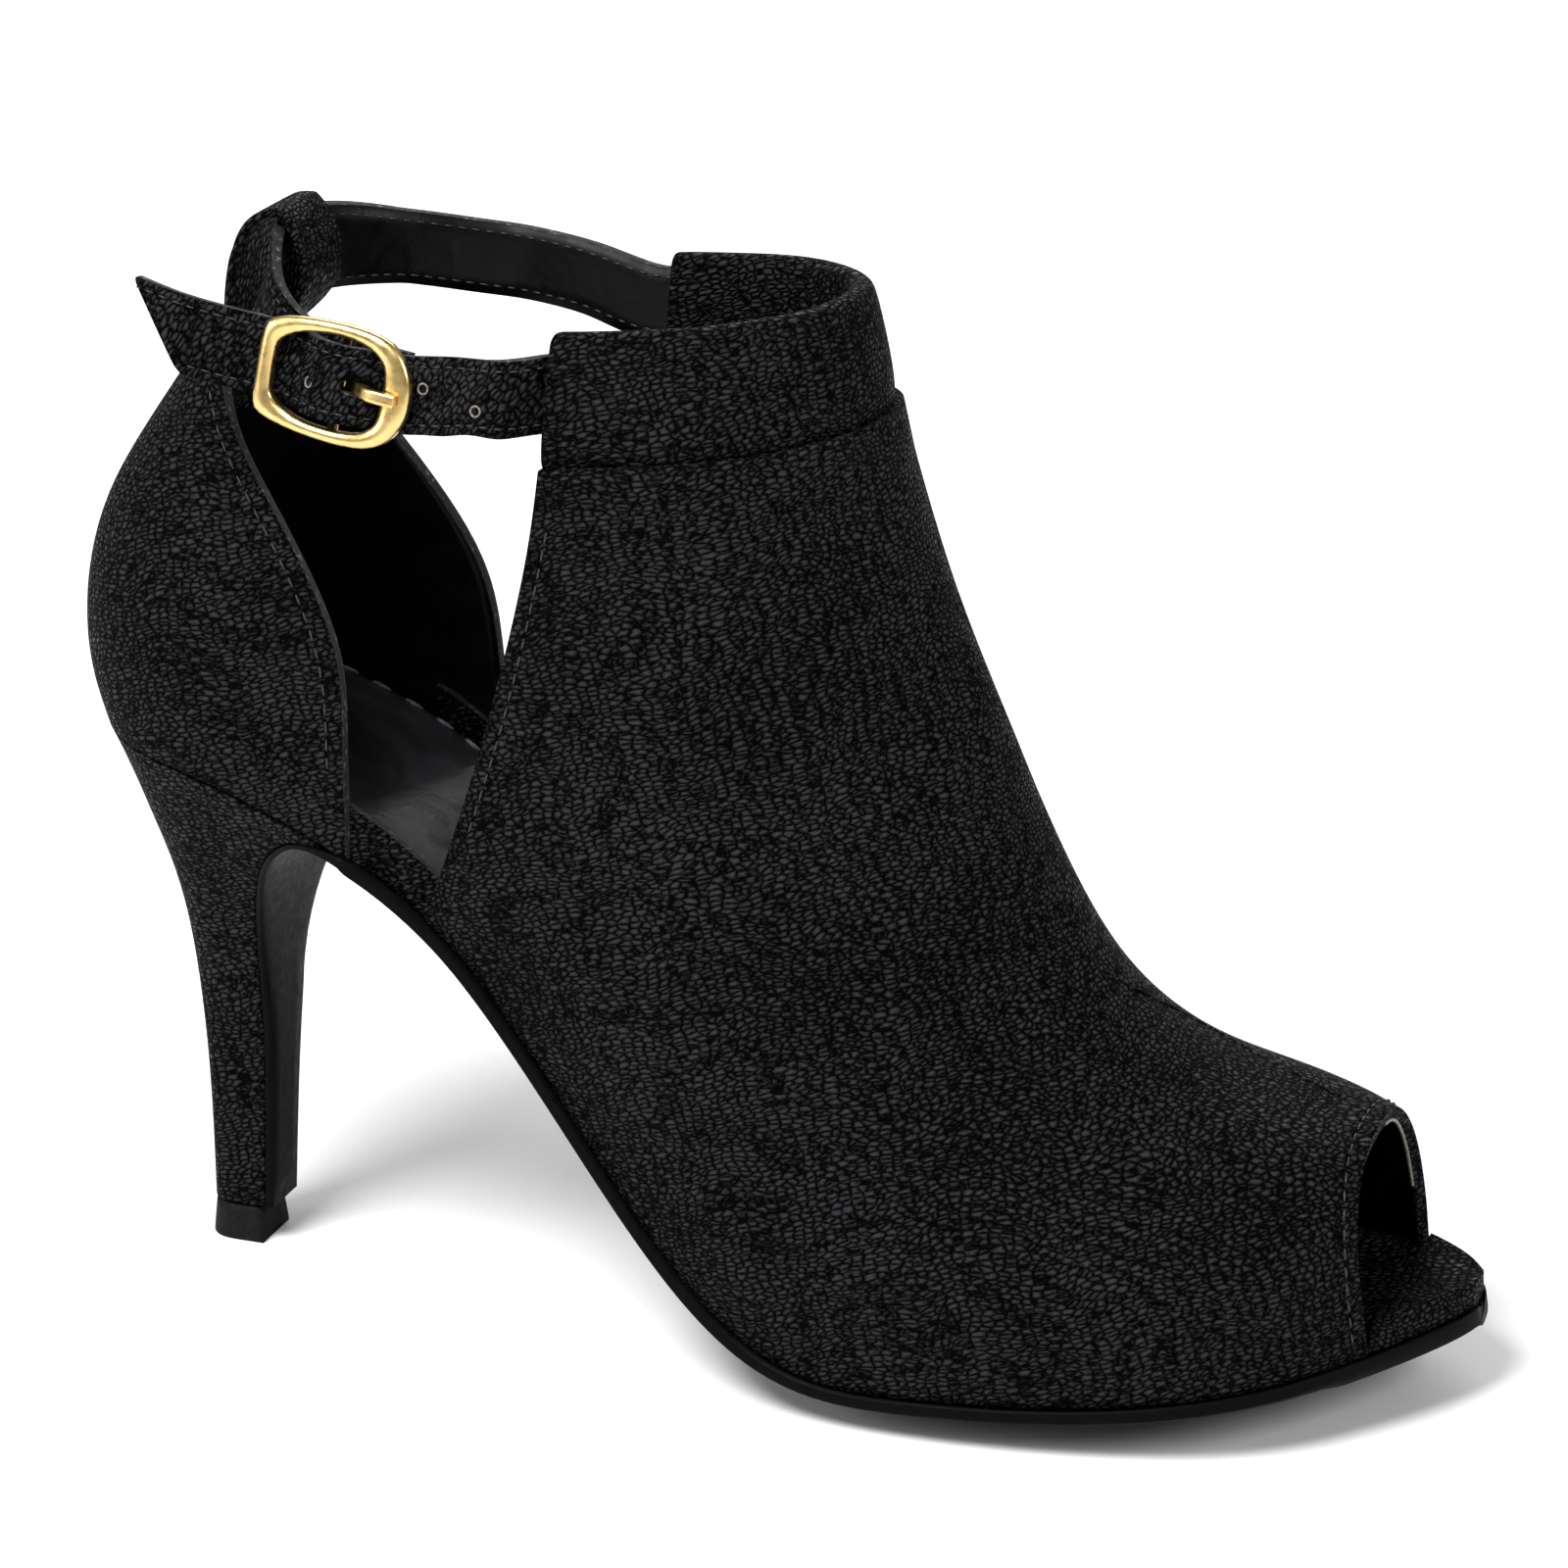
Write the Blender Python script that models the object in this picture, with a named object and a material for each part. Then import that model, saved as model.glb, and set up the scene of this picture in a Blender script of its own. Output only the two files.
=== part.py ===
"""High heel ankle boot with a peep toe, open sides, a turned cuff and a buckled ankle strap.

The right shoe of a pair, in metres. +X runs to the toe, +Y to the medial side and +Z up. The origin is
the centre of the top lift's floor face, so the shoe stands on the plane Z = 0.

The last is given by three things: the sole line, which is the feather line seen from the side, the plan
outline of that line, and tables of sections above it. Every piece is worked out from these.
"""

import math

import bmesh
import bpy
import numpy as np
from mathutils import Matrix, Vector

MM = 0.001

# Driving sizes of the last, for a ladies' size EU 38
SOLE_LENGTH = 223.5 * MM
SEAT_SETBACK = 18.0 * MM
HEEL_HEIGHT = 91.0 * MM
TOE_SPRING = 11.0 * MM
BALL_WIDTH = 76.0 * MM
SEAT_WIDTH = 53.0 * MM
HEEL_ROUND = 25.0 * MM
TOE_ROUND = 28.0 * MM
TOE_SWING = 9.5 * MM
TOE_BOX_TOP = 45.5 * MM
TREAD_CURVE = 4.4 * MM
SHAFT_HEIGHT = 78.2 * MM
SHAFT_WIDTH = 57.0 * MM
COUNTER_HEIGHT = 62.0 * MM
COUNTER_SKEW = 3.0 * MM

# Sizes of the materials
WALL = 2.2 * MM
WING_WALL = 1.2 * MM
WING_INSET = 0.8 * MM
WING_HEIGHT = 9.0 * MM
CUFF_WALL = 1.3 * MM
CUFF_THICK = 4.9 * MM
CUFF_INSET = 1.0 * MM
OUTSOLE_THICK = 3.0 * MM
BREAST_THICK = 1.3 * MM
OUTSOLE_MARGIN = 0.9 * MM
INSOLE_THICK = 3.2 * MM
TOE_PAD_THICK = 4.6 * MM
SOCK_THICK = 1.6 * MM
TOE_WALL_LEAN = 1.7 * MM
GAP = 0.3 * MM

# Heel and top lift
LIFT_HEIGHT = 6.0 * MM
LIFT_LENGTH = 10.6 * MM
LIFT_WIDTH = 10.2 * MM
LIFT_STEP = 0.6 * MM

# Ankle strap, buckle and heel loop
STRAP_WIDTH = 11.8 * MM
STRAP_THICK = 1.6 * MM
SKIVED_THICK = 1.1 * MM
STRAP_LEAN = math.radians(8.0)
HOLE_SPACING = 9.2 * MM
HOLE_RADIUS = 0.75 * MM
LOOP_WIDTH = 14.0 * MM
LOOP_THICK = 1.4 * MM
BUCKLE_LENGTH = 25.5 * MM
BUCKLE_HEIGHT = 18.0 * MM
BUCKLE_THICK = 2.0 * MM
BUCKLE_PITCH = math.radians(8.0)
BUCKLE_TURN = math.radians(4.0)
BUCKLE_STAND = 2.0 * MM
BUCKLE_BELOW_COLLAR = 13.3 * MM
STRAP_SLANT = 22.0 * MM
LOOP_BOW = 2.2 * MM
LOOP_BOW_REACH = 26.0 * MM
CENTRE_BAR_RADIUS = 0.8 * MM
CENTRE_BAR_DROP = 2.4 * MM
POST_RADIUS = 0.75 * MM
CHAPE_WIDTH = 9.0 * MM
CHAPE_SLOT = 2.5 * MM
CHAPE_SLOT_LENGTH = 7.0 * MM
TONGUE_WIDTH = 1.8 * MM
TONGUE_THICK = 1.3 * MM

HEEL_BACK_X = -SEAT_SETBACK
TOE_TIP_X = HEEL_BACK_X + SOLE_LENGTH
COLLAR_Z = HEEL_HEIGHT + SHAFT_HEIGHT
COUNTER_TOP_Z = HEEL_HEIGHT + COUNTER_HEIGHT
LATERAL, MEDIAL = -1.0, 1.0


def spline(table):
    """A natural cubic curve through rows of (place, value), as a function."""
    xs, ys = np.array(table, float).T
    n = len(xs)
    h = np.diff(xs)
    matrix = np.eye(n)
    right = np.zeros(n)
    for i in range(1, n - 1):
        matrix[i, i - 1 : i + 2] = h[i - 1], 2 * (h[i - 1] + h[i]), h[i]
        right[i] = 6 * ((ys[i + 1] - ys[i]) / h[i] - (ys[i] - ys[i - 1]) / h[i - 1])
    bend = np.linalg.solve(matrix, right)

    def value(x):
        x = min(max(x, xs[0]), xs[-1])
        i = int(min(np.searchsorted(xs, x, "right") - 1, n - 2))
        a, b = (xs[i + 1] - x) / h[i], (x - xs[i]) / h[i]
        curve = ((a**3 - a) * bend[i] + (b**3 - b) * bend[i + 1]) * h[i] ** 2 / 6
        return float(a * ys[i] + b * ys[i + 1] + curve)

    return value


def column(table, place, value):
    return spline([(row[place], row[value]) for row in table])


# The sole line from the side: share of the sole's length from the heel's back, share of the heel's
# rise above the ball, and share of the toe spring.
SOLE_LINE = [
    # along   rise    spring
    (0.000, 1.000, 0.00),
    (0.060, 0.992, 0.00),
    (0.112, 0.967, 0.00),
    (0.165, 0.916, 0.00),
    (0.236, 0.828, 0.00),
    (0.290, 0.722, 0.00),
    (0.340, 0.586, 0.00),
    (0.395, 0.412, 0.00),
    (0.445, 0.260, 0.00),
    (0.495, 0.138, 0.00),
    (0.545, 0.054, 0.00),
    (0.600, 0.009, 0.00),
    (0.660, 0.000, 0.00),
    (0.730, 0.000, 0.04),
    (0.810, 0.000, 0.24),
    (0.900, 0.000, 0.62),
    (1.000, 0.000, 1.00),
]
RISE = column(SOLE_LINE, 0, 1)
SPRING = column(SOLE_LINE, 0, 2)


# The tread curve, by which the sole's edges rise above its middle: share of its length, and share of
# the greatest rise.
TREAD = [(0.0, 0.0), (0.40, 0.0), (0.49, 0.0), (0.56, 0.32), (0.62, 0.76), (0.69, 1.0), (0.77, 0.97),
         (0.83, 0.78), (0.92, 0.42), (1.0, 0.22)]
TREAD_RISE = spline(TREAD)
TREAD_FLAT = 0.45


def share_at(x):
    return (x - HEEL_BACK_X) / SOLE_LENGTH


def x_at(share):
    return HEEL_BACK_X + share * SOLE_LENGTH


def sole_z(x):
    """Height of the feather line, where the upper meets the outsole."""
    share = share_at(x)
    rise = HEEL_HEIGHT - OUTSOLE_THICK
    return OUTSOLE_THICK + max(RISE(share), 0.0) * rise + max(SPRING(share), 0.0) * TOE_SPRING


def clear_of_sole(x, gaps=1.0):
    """The height above the sole line that leaves the clearance, square to the line's slope."""
    slope = (sole_z(x + MM) - sole_z(x - MM)) / (2 * MM)
    return gaps * GAP * math.sqrt(1 + slope**2)


# The plan outline of the feather line: share of the sole's length, half width as a share of the ball
# width, and centre as a share of the toe's swing to the medial side.
OUTLINE = [
    # along   half    centre
    (0.30, 0.315, -0.14),
    (0.42, 0.350, -0.30),
    (0.53, 0.432, -0.32),
    (0.64, 0.488, -0.20),
    (0.71, 0.500, -0.05),
    (0.78, 0.487, 0.10),
    (0.845, 0.452, 0.28),
    (0.90, 0.388, 0.50),
    (0.95, 0.308, 0.74),
    (1.00, 0.225, 1.00),
]
SEAT_ROWS = [(0.0, 0.0), (0.08, 0.0), (0.15, 0.0), (0.22, -0.03)]
OUTLINE_HALF = column(OUTLINE, 0, 1)
OUTLINE_CENTRE = spline(SEAT_ROWS + [(row[0], row[2]) for row in OUTLINE])


def blend(a, b, t):
    t = min(max(t, 0.0), 1.0)
    t = t * t * (3 - 2 * t)
    return a + (b - a) * t


def round_end(depth, radius):
    """Share of the full width at this depth from a round end."""
    if depth >= radius:
        return 1.0
    return math.sqrt(max(0.0, 1 - (1 - max(depth, 0.0) / radius) ** 2))


def outline_half(x):
    """Half the feather line's width at x, round at the heel and the toe."""
    share = share_at(x)
    full = blend(SEAT_WIDTH / 2, OUTLINE_HALF(share) * BALL_WIDTH, (share - 0.18) / 0.14)
    ends = round_end(x - HEEL_BACK_X, HEEL_ROUND) * round_end(TOE_TIP_X - x, TOE_ROUND)
    return full * ends


def outline_centre(x):
    return OUTLINE_CENTRE(share_at(x)) * TOE_SWING


def tread(x, across=1.0):
    """How far the sole's surface lies above the sole line, across from 0, the middle, to 1, the edge."""
    off_middle = max(0.0, (across - TREAD_FLAT) / (1 - TREAD_FLAT))
    return max(TREAD_RISE(share_at(x)), 0.0) * TREAD_CURVE * off_middle


# The front of the upper, from the toe opening to the top of the cuff. A section is an arch in a plane
# that leans back, from its foot on the feather line, or on the side opening's edge, over the ridge.
# foot and ridge are shares of the sole's length, foot_up is a share of the way from the shank up to the
# collar, ridge_up one from the toe box's top up to the collar, wide is half the widest width as a share
# of the ball width, widest is where that lies between foot and ridge, round is the arch's exponent, and
# ridge_y is the ridge's offset as a share of the toe's swing.
FEATHER_ROWS = 8
SEAM_ROW = 12
CUFF_ROW = 13
FRONT = [
    # foot  foot_up  ridge  ridge_up  wide   widest round ridge_y
    (0.944, 0.00, 0.931, 0.000, 0.270, 0.40, 2.25, 0.20),
    (0.890, 0.00, 0.896, 0.008, 0.396, 0.34, 2.15, 0.28),
    (0.810, 0.00, 0.850, 0.027, 0.492, 0.30, 2.05, 0.35),
    (0.711, 0.00, 0.799, 0.057, 0.523, 0.27, 2.00, 0.40),
    (0.608, 0.00, 0.755, 0.1135, 0.513, 0.27, 2.00, 0.42),
    (0.515, 0.00, 0.7215, 0.193, 0.480, 0.28, 2.00, 0.42),
    (0.425, 0.00, 0.695, 0.286, 0.453, 0.30, 2.00, 0.38),
    (0.349, 0.00, 0.673, 0.377, 0.433, 0.32, 2.00, 0.34),
    (0.279, 0.00, 0.651, 0.475, 0.420, 0.30, 2.05, 0.30),
    (0.306, 0.16, 0.628, 0.576, 0.410, 0.30, 2.05, 0.25),
    (0.332, 0.33, 0.607, 0.676, 0.398, 0.28, 2.10, 0.20),
    (0.353, 0.51, 0.592, 0.764, 0.388, 0.25, 2.10, 0.15),
    (0.374, 0.745, 0.581, 0.837, 0.382, 0.20, 2.10, 0.10),
    (0.381, 0.963, 0.565, 1.000, 0.375, 0.15, 2.10, 0.00),
]
SHANK_X = x_at(FRONT[FEATHER_ROWS][0])
FRONT_ROWS = list(enumerate(FRONT))
FOOT_ON_SOLE = spline([(i, row[0]) for i, row in FRONT_ROWS[: FEATHER_ROWS + 1]])
FOOT_ON_EDGE = spline([(i, row[0]) for i, row in FRONT_ROWS[FEATHER_ROWS:]])
FOOT_UP = spline([(i, row[1]) for i, row in FRONT_ROWS[FEATHER_ROWS:]])
RIDGE_X = spline([(i, row[2]) for i, row in FRONT_ROWS])
RIDGE_UP = spline([(i, row[3]) for i, row in FRONT_ROWS])
WIDE = spline([(i, row[4]) for i, row in FRONT_ROWS])
WIDEST = spline([(i, row[5]) for i, row in FRONT_ROWS])
ROUND = spline([(i, row[6]) for i, row in FRONT_ROWS])
RIDGE_Y = spline([(i, row[7]) for i, row in FRONT_ROWS])
EDGE_SHARE = 0.25


def edge_half(row):
    """Half the distance between the two side openings' edges, in the rows above the feather line."""
    at_shank = outline_half(SHANK_X)
    opening = math.sin(math.pi / 2 * min((row - FEATHER_ROWS) / 3.0, 1.0))
    return at_shank + (SHAFT_WIDTH / 2 - at_shank) * opening


def front_point(row, across):
    """A point on the outside of the front. across runs from -1, lateral, over 0, the ridge, to 1."""
    if row <= FEATHER_ROWS:
        foot_x = x_at(FOOT_ON_SOLE(row))
        foot_z = sole_z(foot_x) + tread(foot_x) + clear_of_sole(foot_x)
        foot_half, foot_y = outline_half(foot_x), outline_centre(foot_x)
    else:
        foot_x = x_at(FOOT_ON_EDGE(row))
        shank_z = sole_z(SHANK_X) + clear_of_sole(SHANK_X)
        foot_z = shank_z + FOOT_UP(row) * (COLLAR_Z - shank_z)
        foot_half = edge_half(row)
        foot_y = outline_centre(SHANK_X) * max(0.0, 1 - (row - FEATHER_ROWS) / 4.0)
    ridge_x = x_at(RIDGE_X(row))
    ridge_z = TOE_BOX_TOP + RIDGE_UP(row) * (COLLAR_Z - TOE_BOX_TOP)
    wide = max(WIDE(row) * BALL_WIDTH, foot_half)
    widest, power = WIDEST(row), 2 / ROUND(row)
    away = abs(across)
    if away > 1 - EDGE_SHARE:
        t = widest * (1 - away) / EDGE_SHARE
        half = wide - (wide - foot_half) * ((widest - t) / widest) ** 2
    else:
        turn = (1 - away / (1 - EDGE_SHARE)) * math.pi / 2
        t = widest + (1 - widest) * math.sin(turn) ** power
        half = wide * max(math.cos(turn), 0.0) ** power
    centre = foot_y + (RIDGE_Y(row) * TOE_SWING - foot_y) * t
    side = math.copysign(1.0, across)
    return Vector((foot_x + (ridge_x - foot_x) * t, centre + side * half, foot_z + (ridge_z - foot_z) * t))


# The back of the upper: share of the counter's height, the back's place behind the heel's back and
# the front edge's place ahead of it as shares of the sole's length, and half width as a share of the
# seat's width.
BACK = [
    # up     back     half    edge
    (0.00, 0.0000, 0.500, 0.237),
    (0.13, -0.0100, 0.516, 0.236),
    (0.28, -0.0135, 0.514, 0.234),
    (0.45, -0.0080, 0.492, 0.226),
    (0.60, 0.0060, 0.458, 0.197),
    (0.75, 0.0300, 0.418, 0.161),
    (0.90, 0.0580, 0.376, 0.127),
    (1.00, 0.0770, 0.346, 0.112),
]
BACK_X = column(BACK, 0, 1)
BACK_HALF = column(BACK, 0, 2)
BACK_EDGE = column(BACK, 0, 3)


def back_point(up, across):
    """A point on the outside of the counter. across runs from -1, lateral edge, to 1, medial edge."""
    back_x = x_at(BACK_X(up))
    edge_x = x_at(BACK_EDGE(up)) + math.copysign(COUNTER_SKEW, across) * (1 - up)
    depth = (edge_x - back_x) * (1 - math.cos(abs(across) * math.pi / 2))
    x = back_x + depth
    half = BACK_HALF(up) * SEAT_WIDTH * round_end(depth, HEEL_ROUND)
    foot_z = sole_z(x) + clear_of_sole(x, 1.8)
    return Vector((x, math.copysign(half, across), foot_z + up * (COUNTER_TOP_Z - foot_z)))


def wing_point(share, up, side):
    """A point on the outside of a wing, the low strip that joins counter and front under the opening."""
    start, end = x_at(BACK_EDGE(0.0)) - WING_HEIGHT, SHANK_X + WING_HEIGHT
    x = start + (end - start) * share
    y = outline_centre(x) + side * (outline_half(x) - WING_INSET)
    return Vector((x, y, sole_z(x) + clear_of_sole(x, 1.3) + up * WING_HEIGHT))


def clear_scene():
    for obj in list(bpy.data.objects):
        bpy.data.objects.remove(obj)


def material(name, colour, roughness, metallic=0.0):
    made = bpy.data.materials.new(name)
    made.use_nodes = True
    shader = made.node_tree.nodes["Principled BSDF"]
    shader.inputs["Base Color"].default_value = (*colour, 1.0)
    shader.inputs["Roughness"].default_value = roughness
    shader.inputs["Metallic"].default_value = metallic
    return made


def finish(bm, name, finish_material, smooth_angle=math.radians(40)):
    """The object made from bm, with its faces pointing out."""
    bmesh.ops.recalc_face_normals(bm, faces=bm.faces)
    mesh = bpy.data.meshes.new(name)
    bm.to_mesh(mesh)
    bm.free()
    mesh.shade_smooth()
    mesh.set_sharp_from_angle(angle=smooth_angle)
    obj = bpy.data.objects.new(name, mesh)
    bpy.context.scene.collection.objects.link(obj)
    if finish_material:
        mesh.materials.append(finish_material)
    return obj


def sheet(name, rows, finish_material, thick):
    """A wall from a grid of points on its outside. The thickness goes inwards."""
    bm = bmesh.new()
    grid = [[bm.verts.new(point) for point in row] for row in rows]
    for low, high in zip(grid, grid[1:]):
        for a, b, c, d in zip(low, low[1:], high[1:], high):
            bm.faces.new((a, b, c, d))
    mesh = bpy.data.meshes.new(name)
    bm.to_mesh(mesh)
    bm.free()
    mesh.shade_smooth()
    obj = bpy.data.objects.new(name, mesh)
    bpy.context.scene.collection.objects.link(obj)
    mesh.materials.append(finish_material)
    wall = obj.modifiers.new("wall", "SOLIDIFY")
    wall.thickness = thick
    wall.offset = -1.0
    return obj


def loft(name, rings, finish_material, closed=False):
    """A solid through rings of points, capped at both ends unless it closes on itself."""
    bm = bmesh.new()
    loops = [[bm.verts.new(point) for point in ring] for ring in rings]
    count = len(loops[0])
    pairs = list(zip(loops, loops[1:])) + ([(loops[-1], loops[0])] if closed else [])
    for low, high in pairs:
        for i in range(count):
            j = (i + 1) % count
            bm.faces.new((low[i], low[j], high[j], high[i]))
    if not closed:
        for cap in (loops[0], loops[-1]):
            paired_cap(bm, cap)
    return finish(bm, name, finish_material)


def paired_cap(bm, ring):
    """Closes a ring by strips between its opposite points, so that the cap bends one way only."""
    count = len(ring)
    for i in range(count // 2 - 1):
        corners = [ring[i], ring[i + 1], ring[count - 2 - i], ring[count - 1 - i]]
        bm.faces.new(corners)


def cylinder(name, start, end, radius, finish_material, sides=16):
    """A round bar between two points."""
    bm = bmesh.new()
    axis = end - start
    turn = axis.to_track_quat("Z", "Y").to_matrix().to_4x4()
    place = Matrix.Translation((start + end) / 2) @ turn
    bmesh.ops.create_cone(
        bm, cap_ends=True, segments=sides, radius1=radius, radius2=radius, depth=axis.length, matrix=place
    )
    return finish(bm, name, finish_material)


def box_cutter(name, size, place):
    bm = bmesh.new()
    bmesh.ops.create_cube(bm, size=1.0, matrix=place @ Matrix.Diagonal((*size, 1.0)))
    return hide(finish(bm, name, None))


def hide(obj):
    obj.hide_render = True
    obj.display_type = "WIRE"
    return obj


def combine(obj, other, operation):
    """A live Boolean of obj with other, which is then hidden."""
    step = obj.modifiers.new(other.name, "BOOLEAN")
    step.operation = operation
    step.object = other
    step.solver = "EXACT"
    hide(other)


# The upper: front, counter and two wings joined in one hollow solid

FRONT_STATIONS = 33
FRONT_ACROSS = 24
BACK_STATIONS = 14
BACK_ACROSS = 22
WING_STATIONS = 6


def across_steps(count):
    return [-1 + 2 * i / count for i in range(count + 1)]


def make_upper(leather):
    rows = [
        [front_point(row, across) for across in across_steps(FRONT_ACROSS)]
        for row in [SEAM_ROW * i / FRONT_STATIONS for i in range(FRONT_STATIONS + 1)]
    ]
    upper = sheet("upper", rows, leather, WALL)
    rows = [
        [back_point(i / BACK_STATIONS, -across) for across in across_steps(BACK_ACROSS)]
        for i in range(BACK_STATIONS + 1)
    ]
    counter = sheet("counter_wall", rows, leather, WALL)
    combine(upper, counter, "UNION")
    for name, side in (("lateral_wing", LATERAL), ("medial_wing", MEDIAL)):
        shares = [i / WING_STATIONS for i in range(WING_STATIONS + 1)]
        rows = [[wing_point(share, up, side) for share in shares] for up in (0.0, 0.5, 1.0)]
        if side == LATERAL:
            rows.reverse()
        rows.reverse()
        wing = sheet(name, rows, leather, WING_WALL)
        combine(upper, wing, "UNION")
    return upper


def normal_of_front(row, across):
    """The outward direction of the front's surface."""
    step = 0.02
    low, high = max(across - step, -1.0), min(across + step, 1.0)
    along = front_point(min(row + step, CUFF_ROW), across) - front_point(row - step, across)
    over = front_point(row, high) - front_point(row, low)
    return along.cross(over).normalized() * -1.0


def make_cuff(leather):
    """A folded band that stands on the front's top edge, hollow so that the straps' ends lie in it."""
    rings = []
    low, high = SEAM_ROW + 0.0, CUFF_ROW + 0.0
    for across in across_steps(24):
        bottom, top = front_point(low, across), front_point(high, across)
        up = (top - bottom).normalized()
        out = normal_of_front((low + high) / 2, across)
        bottom = bottom + up * GAP
        tall = (top - bottom).length
        ring = cuff_ring(bottom, up, out, tall, CUFF_THICK, 0.0)
        hollow = cuff_ring(bottom, up, out, tall, CUFF_THICK, CUFF_WALL)
        rings.append((ring, hollow))
    bm = bmesh.new()
    loops = [[[bm.verts.new(p) for p in loop] for loop in pair] for pair in rings]
    count = len(loops[0][0])
    for here, after in zip(loops, loops[1:]):
        for layer in (0, 1):
            for i in range(count):
                j = (i + 1) % count
                bm.faces.new((here[layer][i], here[layer][j], after[layer][j], after[layer][i]))
    for outer, inner in (loops[0], loops[-1]):
        for i in range(count):
            j = (i + 1) % count
            bm.faces.new((outer[i], outer[j], inner[j], inner[i]))
    return finish(bm, "cuff", leather)


def cuff_ring(bottom, up, out, tall, thick, inset):
    """The cuff's section, as a rounded oblong, or its hollow when it is inset by the wall."""
    half, radius = thick / 2 - inset, thick / 2 - inset
    middle = bottom - out * (CUFF_INSET + thick / 2)
    low, high = inset, tall - inset
    points = [(half, low), (-half, low)]
    for i in range(6):
        turn = math.pi * i / 5
        points.append((-radius * math.cos(turn), high - radius + radius * math.sin(turn)))
    return [middle + out * a + up * b for a, b in points]


# The sole unit

def outline_stations(first, last, count):
    """Places along the sole, closer together towards both ends."""
    return [first + (last - first) * (1 - math.cos(math.pi * i / count)) / 2 for i in range(count + 1)]


# The breast, which is the heel's front face: place ahead of the heel's back as a share of the seat's
# setback, height and half width as shares of the heel height and of the seat's width.
BREAST = [
    # ahead   up      half
    (1.310, 0.072, 0.092),
    (1.350, 0.250, 0.097),
    (1.390, 0.407, 0.110),
    (1.417, 0.566, 0.157),
    (1.522, 0.692, 0.245),
    (1.733, 0.791, 0.364),
    (1.961, 0.845, 0.425),
    (2.222, 0.875, 0.468),
    (2.500, 0.884, 0.490),
]
# The heel's back: height as a share of the heel height, and place ahead of the heel's back as a share
# of the seat's setback.
HEEL_BACK = [
    # up     ahead
    (0.072, 0.733),
    (0.270, 0.728),
    (0.420, 0.694),
    (0.570, 0.628),
    (0.690, 0.555),
    (0.785, 0.440),
    (0.870, 0.310),
    (0.940, 0.165),
    (1.000, 0.000),
]
HEEL_BACK_AHEAD = column(HEEL_BACK, 0, 1)


def breast_rows():
    rows = []
    for ahead, up, half in BREAST:
        x, z = HEEL_BACK_X + ahead * SEAT_SETBACK, up * HEEL_HEIGHT
        rows.append((x, min(z, sole_z(x) - 2.5 * GAP), half * SEAT_WIDTH))
    return rows


def heel_ring(back_x, front_x, half, height_at):
    """A D shape, round at the back and flat at the front, as paired points on both sides."""
    steps = 9
    depth = front_x - back_x
    ahead = [depth * (1 - math.cos(math.pi / 2 * i / steps)) for i in range(1, steps + 1)]
    side = [(back_x + d, half * round_end(d, min(half, depth * 0.6))) for d in ahead]
    lateral = [Vector((x, -y, height_at(x))) for x, y in side]
    medial = [Vector((x, y, height_at(x))) for x, y in reversed(side)]
    start = side[0][1] * 0.5
    nose = [Vector((back_x, y, height_at(back_x))) for y in (start, -start)]
    return [nose[1], *lateral, *medial, nose[0]]


def make_heel(cover):
    foot_z = LIFT_HEIGHT + GAP
    rings = []
    for x, z, half in breast_rows():
        share = (max(z, foot_z) - foot_z) / (sole_z(x) - GAP - foot_z)
        rings.append((share, x, half))
    x, z, half = breast_rows()[-1]
    rings.append((1.0, x, half))
    made = []
    for share, front_x, half in rings:
        back_z = foot_z + share * (HEEL_HEIGHT - foot_z)
        back_x = HEEL_BACK_X + HEEL_BACK_AHEAD(back_z / HEEL_HEIGHT) * SEAT_SETBACK

        def height_at(at_x, share=share):
            return foot_z + share * (sole_z(at_x) - GAP - foot_z)

        made.append(heel_ring(back_x, front_x, half, height_at))
    return loft("heel", made, cover)


def make_top_lift(rubber):
    rings = []
    for z, step in ((0.0, 0.0), (LIFT_HEIGHT * 0.12, 0.0), (LIFT_HEIGHT, LIFT_STEP)):
        back, front, half = -LIFT_LENGTH / 2 + step, LIFT_LENGTH / 2 - step, LIFT_WIDTH / 2 - step
        rings.append(heel_ring(back, front, half, lambda x, z=z: z))
    return loft("top_lift", rings, rubber)


SOLE_STATIONS = 38


def sole_path():
    """The outsole's upper face from the side, with half widths and thickness, from toe to top lift."""
    stations = []
    last_x = breast_rows()[-1][0] + 4 * MM
    for x in outline_stations(TOE_TIP_X - 0.15 * MM, last_x, SOLE_STATIONS):
        half = outline_half(x) + OUTSOLE_MARGIN
        stations.append((x, sole_z(x), half, outline_centre(x), OUTSOLE_THICK))
    for x, z, half in reversed(breast_rows()):
        stations.append((x, z, half, outline_centre(x), BREAST_THICK))
    return stations


def flat_ring(x, centre, half, low, high, edge, edge_share):
    """A section of a flat piece that follows the tread curve, with its upper edges rounded off.

    low and high are the heights of its faces above the sole line.
    """
    full = outline_half(x) + OUTSOLE_MARGIN
    ring = []
    for side, height in (
        (-1.0, low), (-1.0, low + (high - low) * edge_share),
        (-(1 - edge), high), (-0.45, high), (0.45, high),
        (1 - edge, high), (1.0, low + (high - low) * edge_share), (1.0, low), (0.45, low), (-0.45, low),
    ):
        y = side * half
        ring.append(Vector((x, centre + y, sole_z(x) + tread(x, min(abs(y) / full, 1.0)) + height)))
    return ring


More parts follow.
